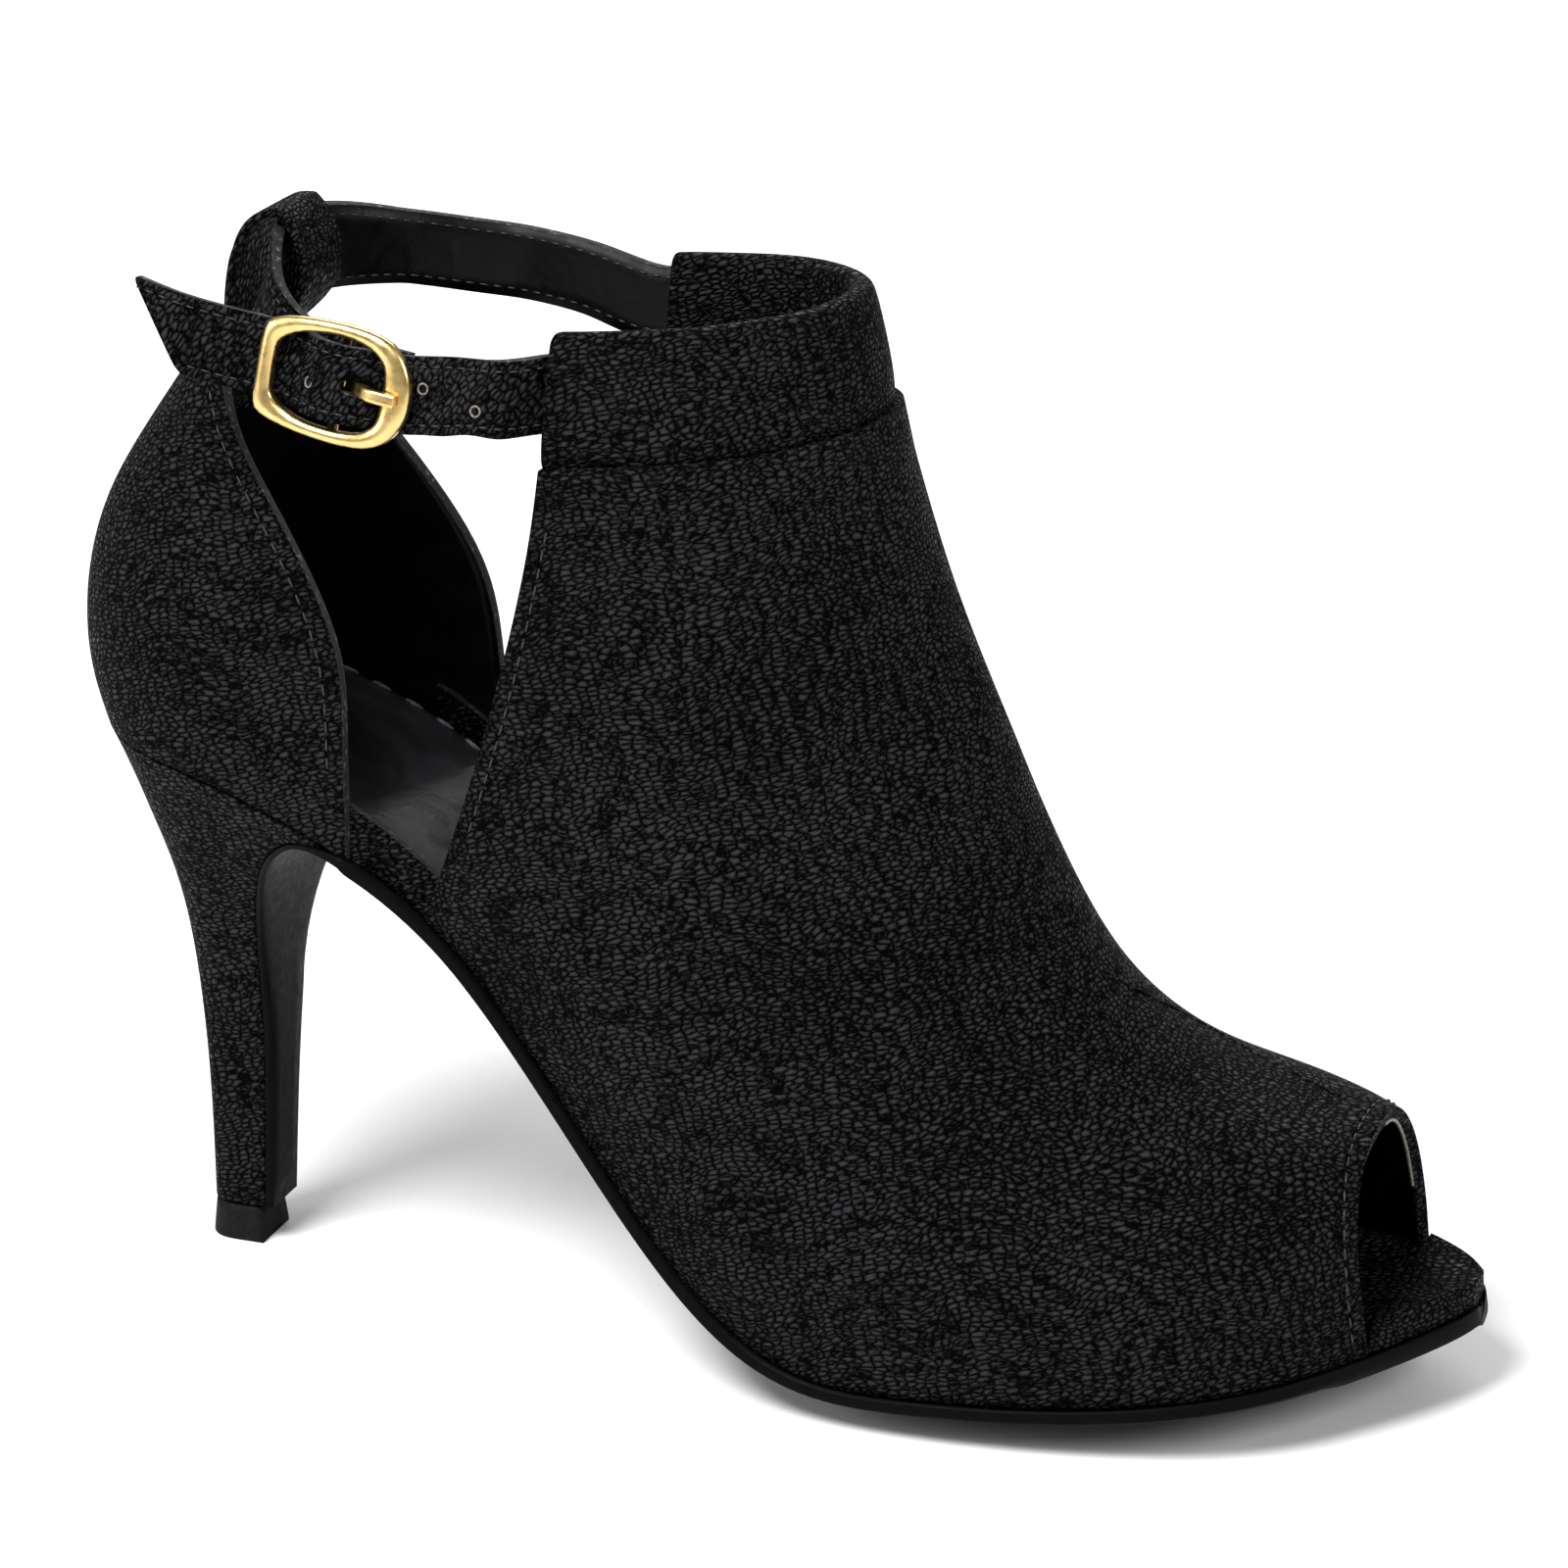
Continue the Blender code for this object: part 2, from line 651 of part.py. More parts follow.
def make_outsole(rubber):
    """The outsole, which runs from the toe along the shank and down the heel's breast."""
    stations = sole_path()
    rings = []
    for i, (x, z, half, centre, thick) in enumerate(stations):
        before, after = stations[max(i - 1, 0)], stations[min(i + 1, len(stations) - 1)]
        along = Vector((after[0] - before[0], 0, after[1] - before[1])).normalized()
        down = Vector((-along.z, 0, along.x))
        on_breast = i > SOLE_STATIONS
        if i in (SOLE_STATIONS - 1, SOLE_STATIONS):
            thick = (OUTSOLE_THICK * 2 + BREAST_THICK) / 3
        top = Vector((x, centre, z)) + down * (GAP if on_breast else 0.0)
        ring = []
        for side, deep in (
            (-1.0, 0.0), (-1.0, 0.6), (-0.94, 1.0), (-0.45, 1.0), (0.45, 1.0),
            (0.94, 1.0), (1.0, 0.6), (1.0, 0.0), (0.45, 0.0), (-0.45, 0.0),
        ):
            rise = 0.0 if on_breast else tread(x, abs(side))
            ring.append(top + down * thick * deep + Vector((0, side * half, rise)))
        rings.append(ring)
    return loft("outsole", rings, rubber)


PEEP_X = x_at(FRONT[0][0])


def insole_half(x):
    """Half the insole's width: inside the wall, and the full outline ahead of the toe opening."""
    if x > PEEP_X:
        return outline_half(x) - GAP
    return outline_half(x) - WALL - 1.5 * GAP - blend(0.0, TOE_WALL_LEAN, (share_at(x) - 0.80) / 0.07)


def make_insole(lining):
    """The covered insole board, which shows at the toe and through the side openings."""
    rings = []
    first = HEEL_BACK_X + WALL + 2 * GAP
    places = outline_stations(first + 0.3 * MM, TOE_TIP_X - 0.6 * MM, 38)
    places = [x for x in places if abs(x - PEEP_X) > 1.2 * MM] + [PEEP_X + 0.2 * MM, PEEP_X + 0.8 * MM]
    for x in sorted(places):
        half = insole_half(x) if x > PEEP_X + 0.5 * MM or x < PEEP_X else insole_half(PEEP_X)
        half = max(half, 1.2 * MM)
        if x < first + HEEL_ROUND:
            half = (SEAT_WIDTH / 2 - WALL - 1.5 * GAP) * round_end(x - first, HEEL_ROUND - WALL)
        thick = blend(INSOLE_THICK, TOE_PAD_THICK, (share_at(x) - 0.80) / 0.12)
        edge = min(2.0 * MM, half * 0.4)
        base = clear_of_sole(x, 1.5)
        rings.append(flat_ring(x, outline_centre(x), half, base, base + thick, edge / half, 0.55))
    return loft("insole", rings, lining)


SOCK_END = 0.80
SOCK_MARGIN = 1.4 * MM


def make_sock(lining):
    """The padded sock, stitched round its edge, on the insole from the heel to behind the toes."""
    rings = []
    first = HEEL_BACK_X + WALL + SOCK_MARGIN + 2 * GAP
    for x in outline_stations(first + 0.3 * MM, x_at(SOCK_END), 28):
        half = insole_half(x) - SOCK_MARGIN
        if x < first + HEEL_ROUND:
            half = (SEAT_WIDTH / 2 - WALL - SOCK_MARGIN - 1.5 * GAP) * round_end(x - first, HEEL_ROUND - WALL)
        thick = blend(INSOLE_THICK, TOE_PAD_THICK, (share_at(x) - 0.80) / 0.12)
        edge = min(2.5 * MM, half * 0.4)
        base = thick + clear_of_sole(x, 3.0)
        rings.append(flat_ring(x, outline_centre(x), half, base, base + SOCK_THICK, edge / half, 0.4))
    return loft("sock", rings, lining)


# Straps. A strap is a flat strip swept along a smooth line. Its stations are a point and the way up.

def buckle_axes():
    """The buckle's centre, and its axes to the back, up and out."""
    flat = math.cos(BUCKLE_PITCH)
    back = Vector((-math.cos(BUCKLE_TURN) * flat, math.sin(BUCKLE_TURN), math.sin(BUCKLE_PITCH))).normalized()
    up = Vector((0, math.sin(STRAP_LEAN), math.cos(STRAP_LEAN)))
    up = (up - back * up.dot(back)).normalized()
    centre = Vector((x_at(0.232), -SHAFT_WIDTH / 2 - BUCKLE_STAND, COLLAR_Z - BUCKLE_BELOW_COLLAR))
    return centre, back, up, up.cross(back).normalized()


BUCKLE_CENTRE, BUCKLE_BACK, BUCKLE_UP, BUCKLE_OUT = buckle_axes()


def at_buckle(back, up, out):
    """A point from its shares of the buckle's length to the back, up and out from the buckle's centre."""
    return BUCKLE_CENTRE + (BUCKLE_BACK * back + BUCKLE_UP * up + BUCKLE_OUT * out) * BUCKLE_LENGTH


def smooth_path(points):
    """A curve through points, as a function of the length along it, and its length."""
    lengths = [0.0]
    for a, b in zip(points, points[1:]):
        lengths.append(lengths[-1] + (b - a).length)
    axes = [spline([(s, p[i]) for s, p in zip(lengths, points)]) for i in range(3)]
    return lambda s: Vector([axis(s) for axis in axes]), lengths[-1]


def strap(name, stations, width, thick, count, finish_material, slant=0.0, bow=0.0, reach=1.0):
    """A strip through stations of (point, up).

    slant moves the upper corner of the last end onwards. bow moves the long edges of both ends inwards,
    as where a strip is sewn into a round wall, and dies away over the length reach.
    """
    path, length = smooth_path([point for point, up in stations])
    marks = [0.0]
    for (a, _), (b, _) in zip(stations, stations[1:]):
        marks.append(marks[-1] + (b - a).length)
    ways = [spline([(s, up[i]) for s, (point, up) in zip(marks, stations)]) for i in range(3)]
    columns = 4 if bow else 1
    side = [i / columns - 0.5 for i in range(columns + 1)]
    section = [(across, 0.5) for across in side] + [(across, -0.5) for across in reversed(side)]
    rings = []
    for i in range(count + 1):
        s = length * i / count
        near_start, near_end = max(0.0, 1 - s / reach), max(0.0, 1 - (length - s) / reach)
        ring = []
        for across, over in section:
            at = s + slant * across * max(0.0, 1 - (length - s) / (slant * 1.5 + MM))
            at = min(max(at, 0.0), length)
            along = (path(min(at + MM, length)) - path(max(at - MM, 0.0))).normalized()
            up = Vector([way(at) for way in ways])
            up = (up - along * up.dot(along)).normalized()
            out = up.cross(along).normalized()
            bent = bow * (near_start - near_end) * (across * 2) ** 2
            ring.append(path(at) + up * across * width + out * (over * thick + bent))
        rings.append(ring)
    return loft(name, rings, finish_material)


def pocket_station(across, height):
    """A strap's place between the cuff's two layers, height above the cuff's seam, and the way up."""
    bottom, top = front_point(SEAM_ROW, across), front_point(CUFF_ROW, across)
    up = (top - bottom).normalized()
    out = normal_of_front((SEAM_ROW + CUFF_ROW) / 2, across)
    return bottom + up * height - out * (CUFF_INSET + CUFF_THICK / 2), up


# The free end's line through the buckle: shares of the buckle's length to the back, up and out.
FREE_END = [
    (-1.0196, 0.1451, -0.0392),
    (-0.7451, 0.0902, -0.0745),
    (-0.5098, 0.0353, -0.0980),
    (-0.4000, 0.0157, -0.1000),
    (-0.2706, 0.0078, -0.0804),
    (-0.1804, 0.0078, -0.0235),
    (-0.0784, 0.0078, 0.0294),
    (0.0314, 0.0078, 0.0373),
    (0.1490, 0.0078, -0.0078),
    (0.2353, 0.0118, -0.0686),
    (0.3373, 0.0196, -0.0980),
    (0.4706, 0.0275, -0.0980),
    (0.6275, 0.0353, -0.0471),
    (0.8235, 0.0510, 0.0392),
    (1.0196, 0.0745, 0.1176),
    (1.3529, 0.1333, 0.1882),
]
TONGUE_HOLE = -0.1725
HOLES = tuple(TONGUE_HOLE + step * HOLE_SPACING / BUCKLE_LENGTH for step in (1, -1, -2))
HOLE_RISE = 0.0118


def make_free_end(leather):
    stations = [pocket_station(across, 12.2 * MM) for across in (-0.86, -0.93, -0.99)]
    for back, up, out in FREE_END:
        stations.append((at_buckle(back, up, out), BUCKLE_UP))
    made = strap("strap_free_end", stations, STRAP_WIDTH, STRAP_THICK, 58, leather, slant=STRAP_SLANT)
    deep = 4 * STRAP_THICK / BUCKLE_LENGTH
    turn = Matrix((-BUCKLE_BACK, BUCKLE_UP, BUCKLE_OUT)).transposed().to_4x4()
    for number, back in enumerate(HOLES):
        ends = at_buckle(back, HOLE_RISE, -deep), at_buckle(back, HOLE_RISE, deep)
        cutter = cylinder("strap_hole_%d" % number, *ends, HOLE_RADIUS, None, 10)
        combine(made, cutter, "DIFFERENCE")
    depth = Vector((0, 0, 4 * STRAP_THICK))
    slot = cylinder("tongue_hole", -depth, depth, 1.0, None, 14)
    slot.data.transform(Matrix.Diagonal((TONGUE_WIDTH * 1.5, TONGUE_WIDTH / 2 + GAP * 1.6, 1.0, 1.0)))
    slot.data.transform(Matrix.Translation(at_buckle(TONGUE_HOLE, HOLE_RISE * 0.7, 0.0)) @ turn)
    combine(made, slot, "DIFFERENCE")
    return made


# The buckle strap's line under the buckle, as above, then the points that take it round the back of
# the ankle through the heel loop: ahead of the heel's back as a share of the sole's length, to the
# medial side as a share of the shaft's width, and above the counter's top as a share of the strap's.
BUCKLE_END = [
    (-0.3647, 0.0078, -0.2353),
    (-0.1569, 0.0078, -0.2314),
    (0.0784, 0.0078, -0.2314),
    (0.3137, 0.0314, -0.2392),
]
ROUND_THE_BACK = [
    # ahead  across   up     lean of the top towards the ankle
    (0.1682, -0.3579, 0.6186, 0.2800),
    (0.1477, -0.2281, 0.8814, 0.3400),
    (0.1383, -0.1053, 1.0508, 0.3000),
    (0.1360, 0.0000, 1.0932, 0.2200),
    (0.1400, 0.1053, 1.0932, 0.1600),
    (0.1566, 0.2281, 1.0508, 0.1200),
    (0.1924, 0.3614, 0.9153, 0.1000),
    (0.2550, 0.4719, 0.7119, 0.0800),
    (0.3221, 0.5018, 0.5593, 0.0500),
]


def make_buckle_strap(leather):
    stations = [(at_buckle(*place), BUCKLE_UP) for place in BUCKLE_END]
    for ahead, across, above, lean in ROUND_THE_BACK:
        point = Vector((x_at(ahead), across * SHAFT_WIDTH, COUNTER_TOP_Z + above * STRAP_WIDTH))
        inward = Vector((x_at(0.234), 0, 0)) - Vector((point.x, point.y, 0))
        stations.append((point, (Vector((0, 0, 1)) + inward.normalized() * lean).normalized()))
    for across in (0.99, 0.93, 0.86):
        stations.append(pocket_station(across, 13.4 * MM))
    return strap("strap_buckle_end", stations, STRAP_WIDTH, STRAP_THICK, 60, leather)


# The heel loop's line, through the inside of the counter, up, over and back down: ahead of the heel's
# back as a share of the sole's length, and above the counter's top as a share of the loop's width.
LOOP_LINE = [
    (0.0626, -0.9286),
    (0.0819, -0.4286),
    (0.0975, 0.0000),
    (0.1051, 0.5000),
    (0.1128, 1.0714),
    (0.1280, 1.4714),
    (0.1450, 1.5429),
    (0.1593, 1.2571),
    (0.1638, 0.8571),
    (0.1539, 0.4857),
    (0.1333, 0.2143),
    (0.1132, -0.1143),
    (0.0966, -0.5714),
    (0.0846, -0.9286),
]


def make_heel_loop(leather):
    points = [Vector((x_at(ahead), 0, COUNTER_TOP_Z + above * LOOP_WIDTH)) for ahead, above in LOOP_LINE]
    stations = [(point, Vector((0, 1, 0))) for point in points]
    sizes = (LOOP_WIDTH, LOOP_THICK, 30)
    return strap("heel_loop", stations, *sizes, leather, bow=LOOP_BOW, reach=LOOP_BOW_REACH)


# The buckle's frame seen from outside, upper half, the outer edge then the inner one: to the back as a
# share of its length, and up as a share of its height.
FRAME_ROWS = [
    (0.5000, 0.0000, 0.4039, 0.0000),
    (0.4980, 0.1667, 0.4000, 0.1222),
    (0.4902, 0.3333, 0.3961, 0.2222),
    (0.4471, 0.4167, 0.3490, 0.2889),
    (0.2745, 0.4722, 0.2157, 0.3750),
    (0.0784, 0.5000, 0.0706, 0.3972),
    (-0.1176, 0.5056, -0.0863, 0.3972),
    (-0.2745, 0.4778, -0.2118, 0.3694),
    (-0.3843, 0.4000, -0.3059, 0.2722),
    (-0.4549, 0.2722, -0.3255, 0.1889),
    (-0.4941, 0.1333, -0.3275, 0.0944),
    (-0.5000, 0.0000, -0.3294, 0.0000),
]


# Where the centre bar ends and where its posts stand, as shares of the buckle's height.
BAR_REACH = 0.4778
POST_PLACE = 0.45


def make_buckle(gold):
    bm = bmesh.new()
    rows = FRAME_ROWS + [(a, -b, c, -d) for a, b, c, d in reversed(FRAME_ROWS[1:-1])]
    half = BUCKLE_THICK / BUCKLE_LENGTH / 2
    tall = BUCKLE_HEIGHT / BUCKLE_LENGTH
    section = ((0.0, -half), (0.0, half * 0.5), (0.3, half), (0.7, half), (1.0, half * 0.5), (1.0, -half))
    loops = []
    for back, up, in_back, in_up in rows:
        ring = []
        for share, out in section:
            high = (up + (in_up - up) * share) * tall
            ring.append(bm.verts.new(at_buckle(back + (in_back - back) * share, high, out)))
        loops.append(ring)
    for low, high in zip(loops, loops[1:] + loops[:1]):
        for i in range(6):
            j = (i + 1) % 6
            bm.faces.new((low[i], low[j], high[j], high[i]))
    frame = finish(bm, "buckle", gold)
    drop = -CENTRE_BAR_DROP / BUCKLE_LENGTH
    end = tall * BAR_REACH
    foot = tall * POST_PLACE
    ends = at_buckle(0, -end, drop), at_buckle(0, end, drop)
    bar = cylinder("centre_bar", *ends, CENTRE_BAR_RADIUS, gold, 12)
    for side in (-foot, foot):
        post = cylinder("bar_post", at_buckle(0, side, drop), at_buckle(0, side, 0), POST_RADIUS, gold, 10)
        combine(bar, post, "UNION")
    combine(frame, bar, "UNION")
    return frame


def make_tongue(gold):
    """The tongue: an eye round the centre bar, and a prong up through the strap to the front bar."""
    drop = -CENTRE_BAR_DROP / BUCKLE_LENGTH
    inner = (CENTRE_BAR_RADIUS + GAP) / BUCKLE_LENGTH
    outer = inner + TONGUE_THICK / BUCKLE_LENGTH * 0.8
    half = TONGUE_WIDTH / BUCKLE_LENGTH / 2
    bm = bmesh.new()
    count = 16
    loops = []
    for i in range(count):
        turn = 2 * math.pi * i / count
        ring = []
        for radius, side in ((inner, -half), (outer, -half), (outer, half), (inner, half)):
            place = at_buckle(radius * math.cos(turn), side, drop + radius * math.sin(turn))
            ring.append(bm.verts.new(place))
        loops.append(ring)
    for low, high in zip(loops, loops[1:] + loops[:1]):
        for i in range(4):
            j = (i + 1) % 4
            bm.faces.new((low[i], low[j], high[j], high[i]))
    eye = finish(bm, "buckle_tongue", gold)
    stations = [(at_buckle(back, 0.0, out), BUCKLE_UP) for back, out in PRONG]
    prong = strap("prong", stations, TONGUE_WIDTH, TONGUE_THICK, 14, gold)
    combine(eye, prong, "UNION")
    return eye


# The prong's line: shares of the buckle's length to the back and out.
PRONG = [
    (-0.0588, -0.0627),
    (-0.1255, -0.0392),
    (-0.1882, 0.0118),
    (-0.2510, 0.0627),
    (-0.3294, 0.0804),
    (-0.4431, 0.0784),
]
# The chape's line, the turned end of the strap round the centre bar.
CHAPE = [
    (0.2196, -0.1627),
    (0.1020, -0.1588),
    (0.0000, -0.1588),
    (-0.0471, -0.1392),
    (-0.0647, -0.0941),
    (-0.0471, -0.0490),
    (0.0000, -0.0294),
    (0.0745, -0.0529),
    (0.1529, -0.1078),
]


CHAPE_SLOT_PLACE = -0.0392


def make_chape(leather):
    stations = [(at_buckle(back, 0.0, out), BUCKLE_UP) for back, out in CHAPE]
    made = strap("buckle_chape", stations, CHAPE_WIDTH, SKIVED_THICK, 26, leather)
    turn = Matrix((-BUCKLE_BACK, BUCKLE_UP, BUCKLE_OUT)).transposed().to_4x4()
    place = Matrix.Translation(at_buckle(CHAPE_SLOT_PLACE, 0.0, -CENTRE_BAR_DROP / BUCKLE_LENGTH)) @ turn
    cutter = box_cutter("chape_slot", (CHAPE_SLOT_LENGTH, CHAPE_SLOT, CHAPE_SLOT_LENGTH), place)
    combine(made, cutter, "DIFFERENCE")
    return made


def main():
    clear_scene()
    grain = material("grained_black", (0.012, 0.012, 0.013), 0.42)
    cover = material("heel_cover_black", (0.012, 0.012, 0.013), 0.45)
    smooth = material("smooth_black_lining", (0.008, 0.008, 0.008), 0.5)
    sole = material("charcoal_sole", (0.018, 0.018, 0.019), 0.5)
    rubber = material("grey_rubber", (0.03, 0.03, 0.031), 0.7)
    gold = material("gold_plate", (0.83, 0.62, 0.30), 0.2, 1.0)
    make_upper(grain)
    make_cuff(grain)
    make_heel_loop(grain)
    make_free_end(grain)
    make_buckle_strap(grain)
    make_chape(grain)
    make_buckle(gold)
    make_tongue(gold)
    make_insole(smooth)
    make_sock(smooth)
    make_outsole(sole)
    make_heel(cover)
    make_top_lift(rubber)


main()
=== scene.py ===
"""A black high heel ankle boot with a peep toe, open sides and an ankle strap: the finish of the shoe.

Names ending in _MM, and places in tables, are in millimetres. +X runs to the toe and -Y to the buckle side.
"""
from math import cos, pi, radians, sin

import bmesh
import bpy
from mathutils import Matrix, Vector, noise
from mathutils.bvhtree import BVHTree
from mathutils.kdtree import KDTree


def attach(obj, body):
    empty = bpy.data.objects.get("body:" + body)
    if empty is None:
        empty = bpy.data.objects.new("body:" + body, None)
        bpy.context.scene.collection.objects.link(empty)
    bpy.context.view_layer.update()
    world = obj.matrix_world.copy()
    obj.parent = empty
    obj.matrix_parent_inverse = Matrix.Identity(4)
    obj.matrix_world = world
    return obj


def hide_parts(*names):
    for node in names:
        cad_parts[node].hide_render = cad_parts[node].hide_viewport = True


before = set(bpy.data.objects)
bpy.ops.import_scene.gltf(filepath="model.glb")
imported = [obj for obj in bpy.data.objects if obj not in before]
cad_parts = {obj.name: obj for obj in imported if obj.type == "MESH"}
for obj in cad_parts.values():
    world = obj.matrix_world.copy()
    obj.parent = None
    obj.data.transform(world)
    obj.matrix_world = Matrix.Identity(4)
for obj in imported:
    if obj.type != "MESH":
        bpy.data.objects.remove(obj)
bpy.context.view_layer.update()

MM = 0.001
# The soft unevenness comes out the same each time
noise.seed_set(1)

# The photograph's view
VIEW_AZIMUTH = 19.5
VIEW_ELEVATION = 19.8
VIEW_DISTANCE_MM = 850
VIEW_TARGET_MM = (94.3, 0, 89.2)
LENS_MM = 126.2
SENSOR_MM = 36
NEAR_CLIP_MM = 10

# The studio: name, place and aim in metres, width in metres, watts
LAMPS = (
    ("key_softbox", (-0.2, -0.7, 1.15), (0.09, 0, 0.09), 0.55, 21),
    ("left_softbox", (-1.0, -0.7, 0.5), (0.09, 0, 0.09), 0.6, 5),
    ("toe_softbox", (1.2, -0.3, 0.8), (0.09, 0, 0.09), 0.6, 8),
    ("back_softbox", (-0.3, 1.35, 0.75), (-0.3, 1.1, 0), 1.0, 15),
)
AIR_LIGHT = 0.25
FLOOR_WIDTH_MM = 12000

# How far two faces turn at an edge before it counts as a cut edge of the leather
CUT_EDGE = radians(42)
UPRIGHT = Vector((0, 0, 1))
TO_BUCKLE_SIDE = Vector((0, -1, 0))


# Nodes

def colour(code):
    """The linear colour of an sRGB hex value."""
    parts = [int(code[i:i + 2], 16) / 255 for i in (1, 3, 5)]
    line = [p / 12.92 if p <= 0.04045 else ((p + 0.055) / 1.055) ** 2.4 for p in parts]
    return (*line, 1.0)


def add(tree, kind, links=(), values=(), stops=(), **settings):
    """Adds a node. A setting named after a socket fills it, and any other is the node's own.

    Links are (socket, output), values are (socket, value) and stops are a ramp's (place, hex)."""
    made = tree.nodes.new(kind)
    for name, value in settings.items():
        socket = name.replace("_", " ").title()
        if socket in made.inputs:
            made.inputs[socket].default_value = value
        else:
            setattr(made, name, value)
    for socket, value in values:
        made.inputs[socket].default_value = value
    for socket, output in links:
        tree.links.new(output, made.inputs[socket])
    while stops and len(made.color_ramp.elements) < len(stops):
        made.color_ramp.elements.new(0.5)
    for index, (place, code) in enumerate(stops):
        made.color_ramp.elements[index].position = place
        made.color_ramp.elements[index].color = colour(code)
    return made


def finish(name, **levels):
    """A new material with its tree and its shader. Levels are the shader's constant settings."""
    material = bpy.data.materials.new(name)
    material.use_nodes = True
    shader = material.node_tree.nodes["Principled BSDF"]
    for level, value in levels.items():
        shader.inputs[LEVELS[level]].default_value = value
    return material, material.node_tree, shader


LEVELS = {"specular": "Specular IOR Level", "metallic": "Metallic", "roughness": "Roughness"}


# Materials

# The grain: closely packed pebbles, longer than they are high, that lean and wander with the hide
PEBBLE_MM = (1.75, 1.3, 0.78)
PEBBLE_LEAN = radians(16)
PEBBLE_UNEVENNESS = 0.72
PEBBLE_WANDER_MM = 2.2
PEBBLE_WANDER_SPAN_MM = 15
# Where a pebble's flank starts and ends, from its crease, in shares of the pitch
PEBBLE_FLANK = (0.03, 0.36)
PEBBLE_GLOSS = 0.36
CREASE_DULLNESS = 0.45
# The pebbles' own tone, and the black of the painted shade in the creases
PEBBLE_TONE = "#2e2e31"
CREASE_PAINTED_SHADE = "#000000"
PORE_MM = 0.7
PORES_IN_CREASE = 0.2
PORES_IN_HEIGHT = 0.3
# The hide's lighter and darker areas
PATCH_MM = 25
PATCH_TONES = (0.75, 1.12)
# The seam's pressed line: half its width, and its depth in pebble heights
SEAM_GROOVE_MM = 0.45
SEAM_GROOVE_DEPTH = 1.1
SEAM_INSET_MM = 2.6


def grained_leather(name, relief_mm=0.5, lean=PEBBLE_LEAN):
    """Embossed coated leather. The pebbles catch a satin light, and the creases between them and the pebbles'
    flanks are painted black as painted shade.
    """
    material, tree, shader = finish(name, specular=0.03)
    place = add(tree, "ShaderNodeTexCoord").outputs["Object"]
    wander = add(tree, "ShaderNodeTexNoise", [("Vector", place)],
                 scale=1 / (PEBBLE_WANDER_SPAN_MM * MM), detail=1.0)
    centred = add(tree, "ShaderNodeVectorMath", [(0, wander.outputs["Color"])], [(1, (0.5, 0.5, 0.5))],
                  operation="SUBTRACT")
    push = add(tree, "ShaderNodeVectorMath", [(0, centred.outputs[0])], operation="SCALE",
               scale=2 * PEBBLE_WANDER_MM * MM)
    moved = add(tree, "ShaderNodeVectorMath", [(0, place), (1, push.outputs[0])], operation="ADD")
    turned = add(tree, "ShaderNodeMapping", [("Vector", moved.outputs[0])], rotation=(0, lean, 0))
    drawn = add(tree, "ShaderNodeMapping", [("Vector", turned.outputs[0])],
                scale=tuple(1 / (size * MM) for size in PEBBLE_MM))
    cells = add(tree, "ShaderNodeTexVoronoi", [("Vector", drawn.outputs[0])],
                feature="DISTANCE_TO_EDGE", scale=1.0, randomness=PEBBLE_UNEVENNESS)
    pores = add(tree, "ShaderNodeTexNoise", [("Vector", place)], scale=1 / (PORE_MM * MM), detail=1.0)
    frayed = add(tree, "ShaderNodeMath", [(0, pores.outputs["Fac"])],
                 [(1, PORES_IN_CREASE), (2, -PORES_IN_CREASE / 2)], operation="MULTIPLY_ADD")
    from_crease = add(tree, "ShaderNodeMath", [(0, cells.outputs["Distance"]), (1, frayed.outputs[0])],
                      operation="ADD")
    domes = add(tree, "ShaderNodeMapRange", [("Value", from_crease.outputs[0])],
                from_min=PEBBLE_FLANK[0], from_max=PEBBLE_FLANK[1], to_min=0.0, to_max=1.0).outputs["Result"]
    rough = add(tree, "ShaderNodeMath", [(0, pores.outputs["Fac"])], [(1, PORES_IN_HEIGHT)],
                operation="MULTIPLY")
    pressed = add(tree, "ShaderNodeMath", [(0, domes), (1, rough.outputs[0])], operation="ADD")

    edge = add(tree, "ShaderNodeAttribute", attribute_name="to_edge_mm").outputs["Fac"]
    off_seam = add(tree, "ShaderNodeMath", [(0, edge)], [(1, SEAM_INSET_MM)], operation="SUBTRACT")
    from_seam = add(tree, "ShaderNodeMath", [(0, off_seam.outputs[0])], operation="ABSOLUTE")
    groove = add(tree, "ShaderNodeMapRange", [("Value", from_seam.outputs[0])],
                 from_min=0.0, from_max=SEAM_GROOVE_MM, to_min=-SEAM_GROOVE_DEPTH, to_max=0.0)
    height = add(tree, "ShaderNodeMath", [(0, pressed.outputs[0]), (1, groove.outputs["Result"])],
                 operation="ADD")
    bump = add(tree, "ShaderNodeBump", [("Height", height.outputs[0])], strength=1.0, distance=relief_mm * MM)
    tree.links.new(bump.outputs["Normal"], shader.inputs["Normal"])

    patches = add(tree, "ShaderNodeTexNoise", [("Vector", place)], scale=1 / (PATCH_MM * MM), detail=2.0)
    worn = add(tree, "ShaderNodeMapRange", [("Value", patches.outputs["Fac"])],
               from_min=0.3, from_max=0.7, to_min=PATCH_TONES[0], to_max=PATCH_TONES[1])
    # Painted shade: the colour falls from the pebbles' tone to black down their flanks and in the creases,
    # under the hide's patches
    shade = add(tree, "ShaderNodeMath", [(0, pressed.outputs[0]), (1, worn.outputs["Result"])],
                operation="MULTIPLY")
    tint = add(tree, "ShaderNodeValToRGB", [("Fac", shade.outputs[0])],
               stops=((0.2, CREASE_PAINTED_SHADE), (1.0, PEBBLE_TONE)))
    tree.links.new(tint.outputs["Color"], shader.inputs["Base Color"])
    dullness = add(tree, "ShaderNodeMapRange", [("Value", domes)], from_min=0.0, from_max=1.0,
                   to_min=PEBBLE_GLOSS + CREASE_DULLNESS, to_max=PEBBLE_GLOSS)
    tree.links.new(dullness.outputs["Result"], shader.inputs["Roughness"])
    return material


# The lining's pores and its creases
LINING_PORE_MM = 0.6
LINING_CREASE_MM = 9


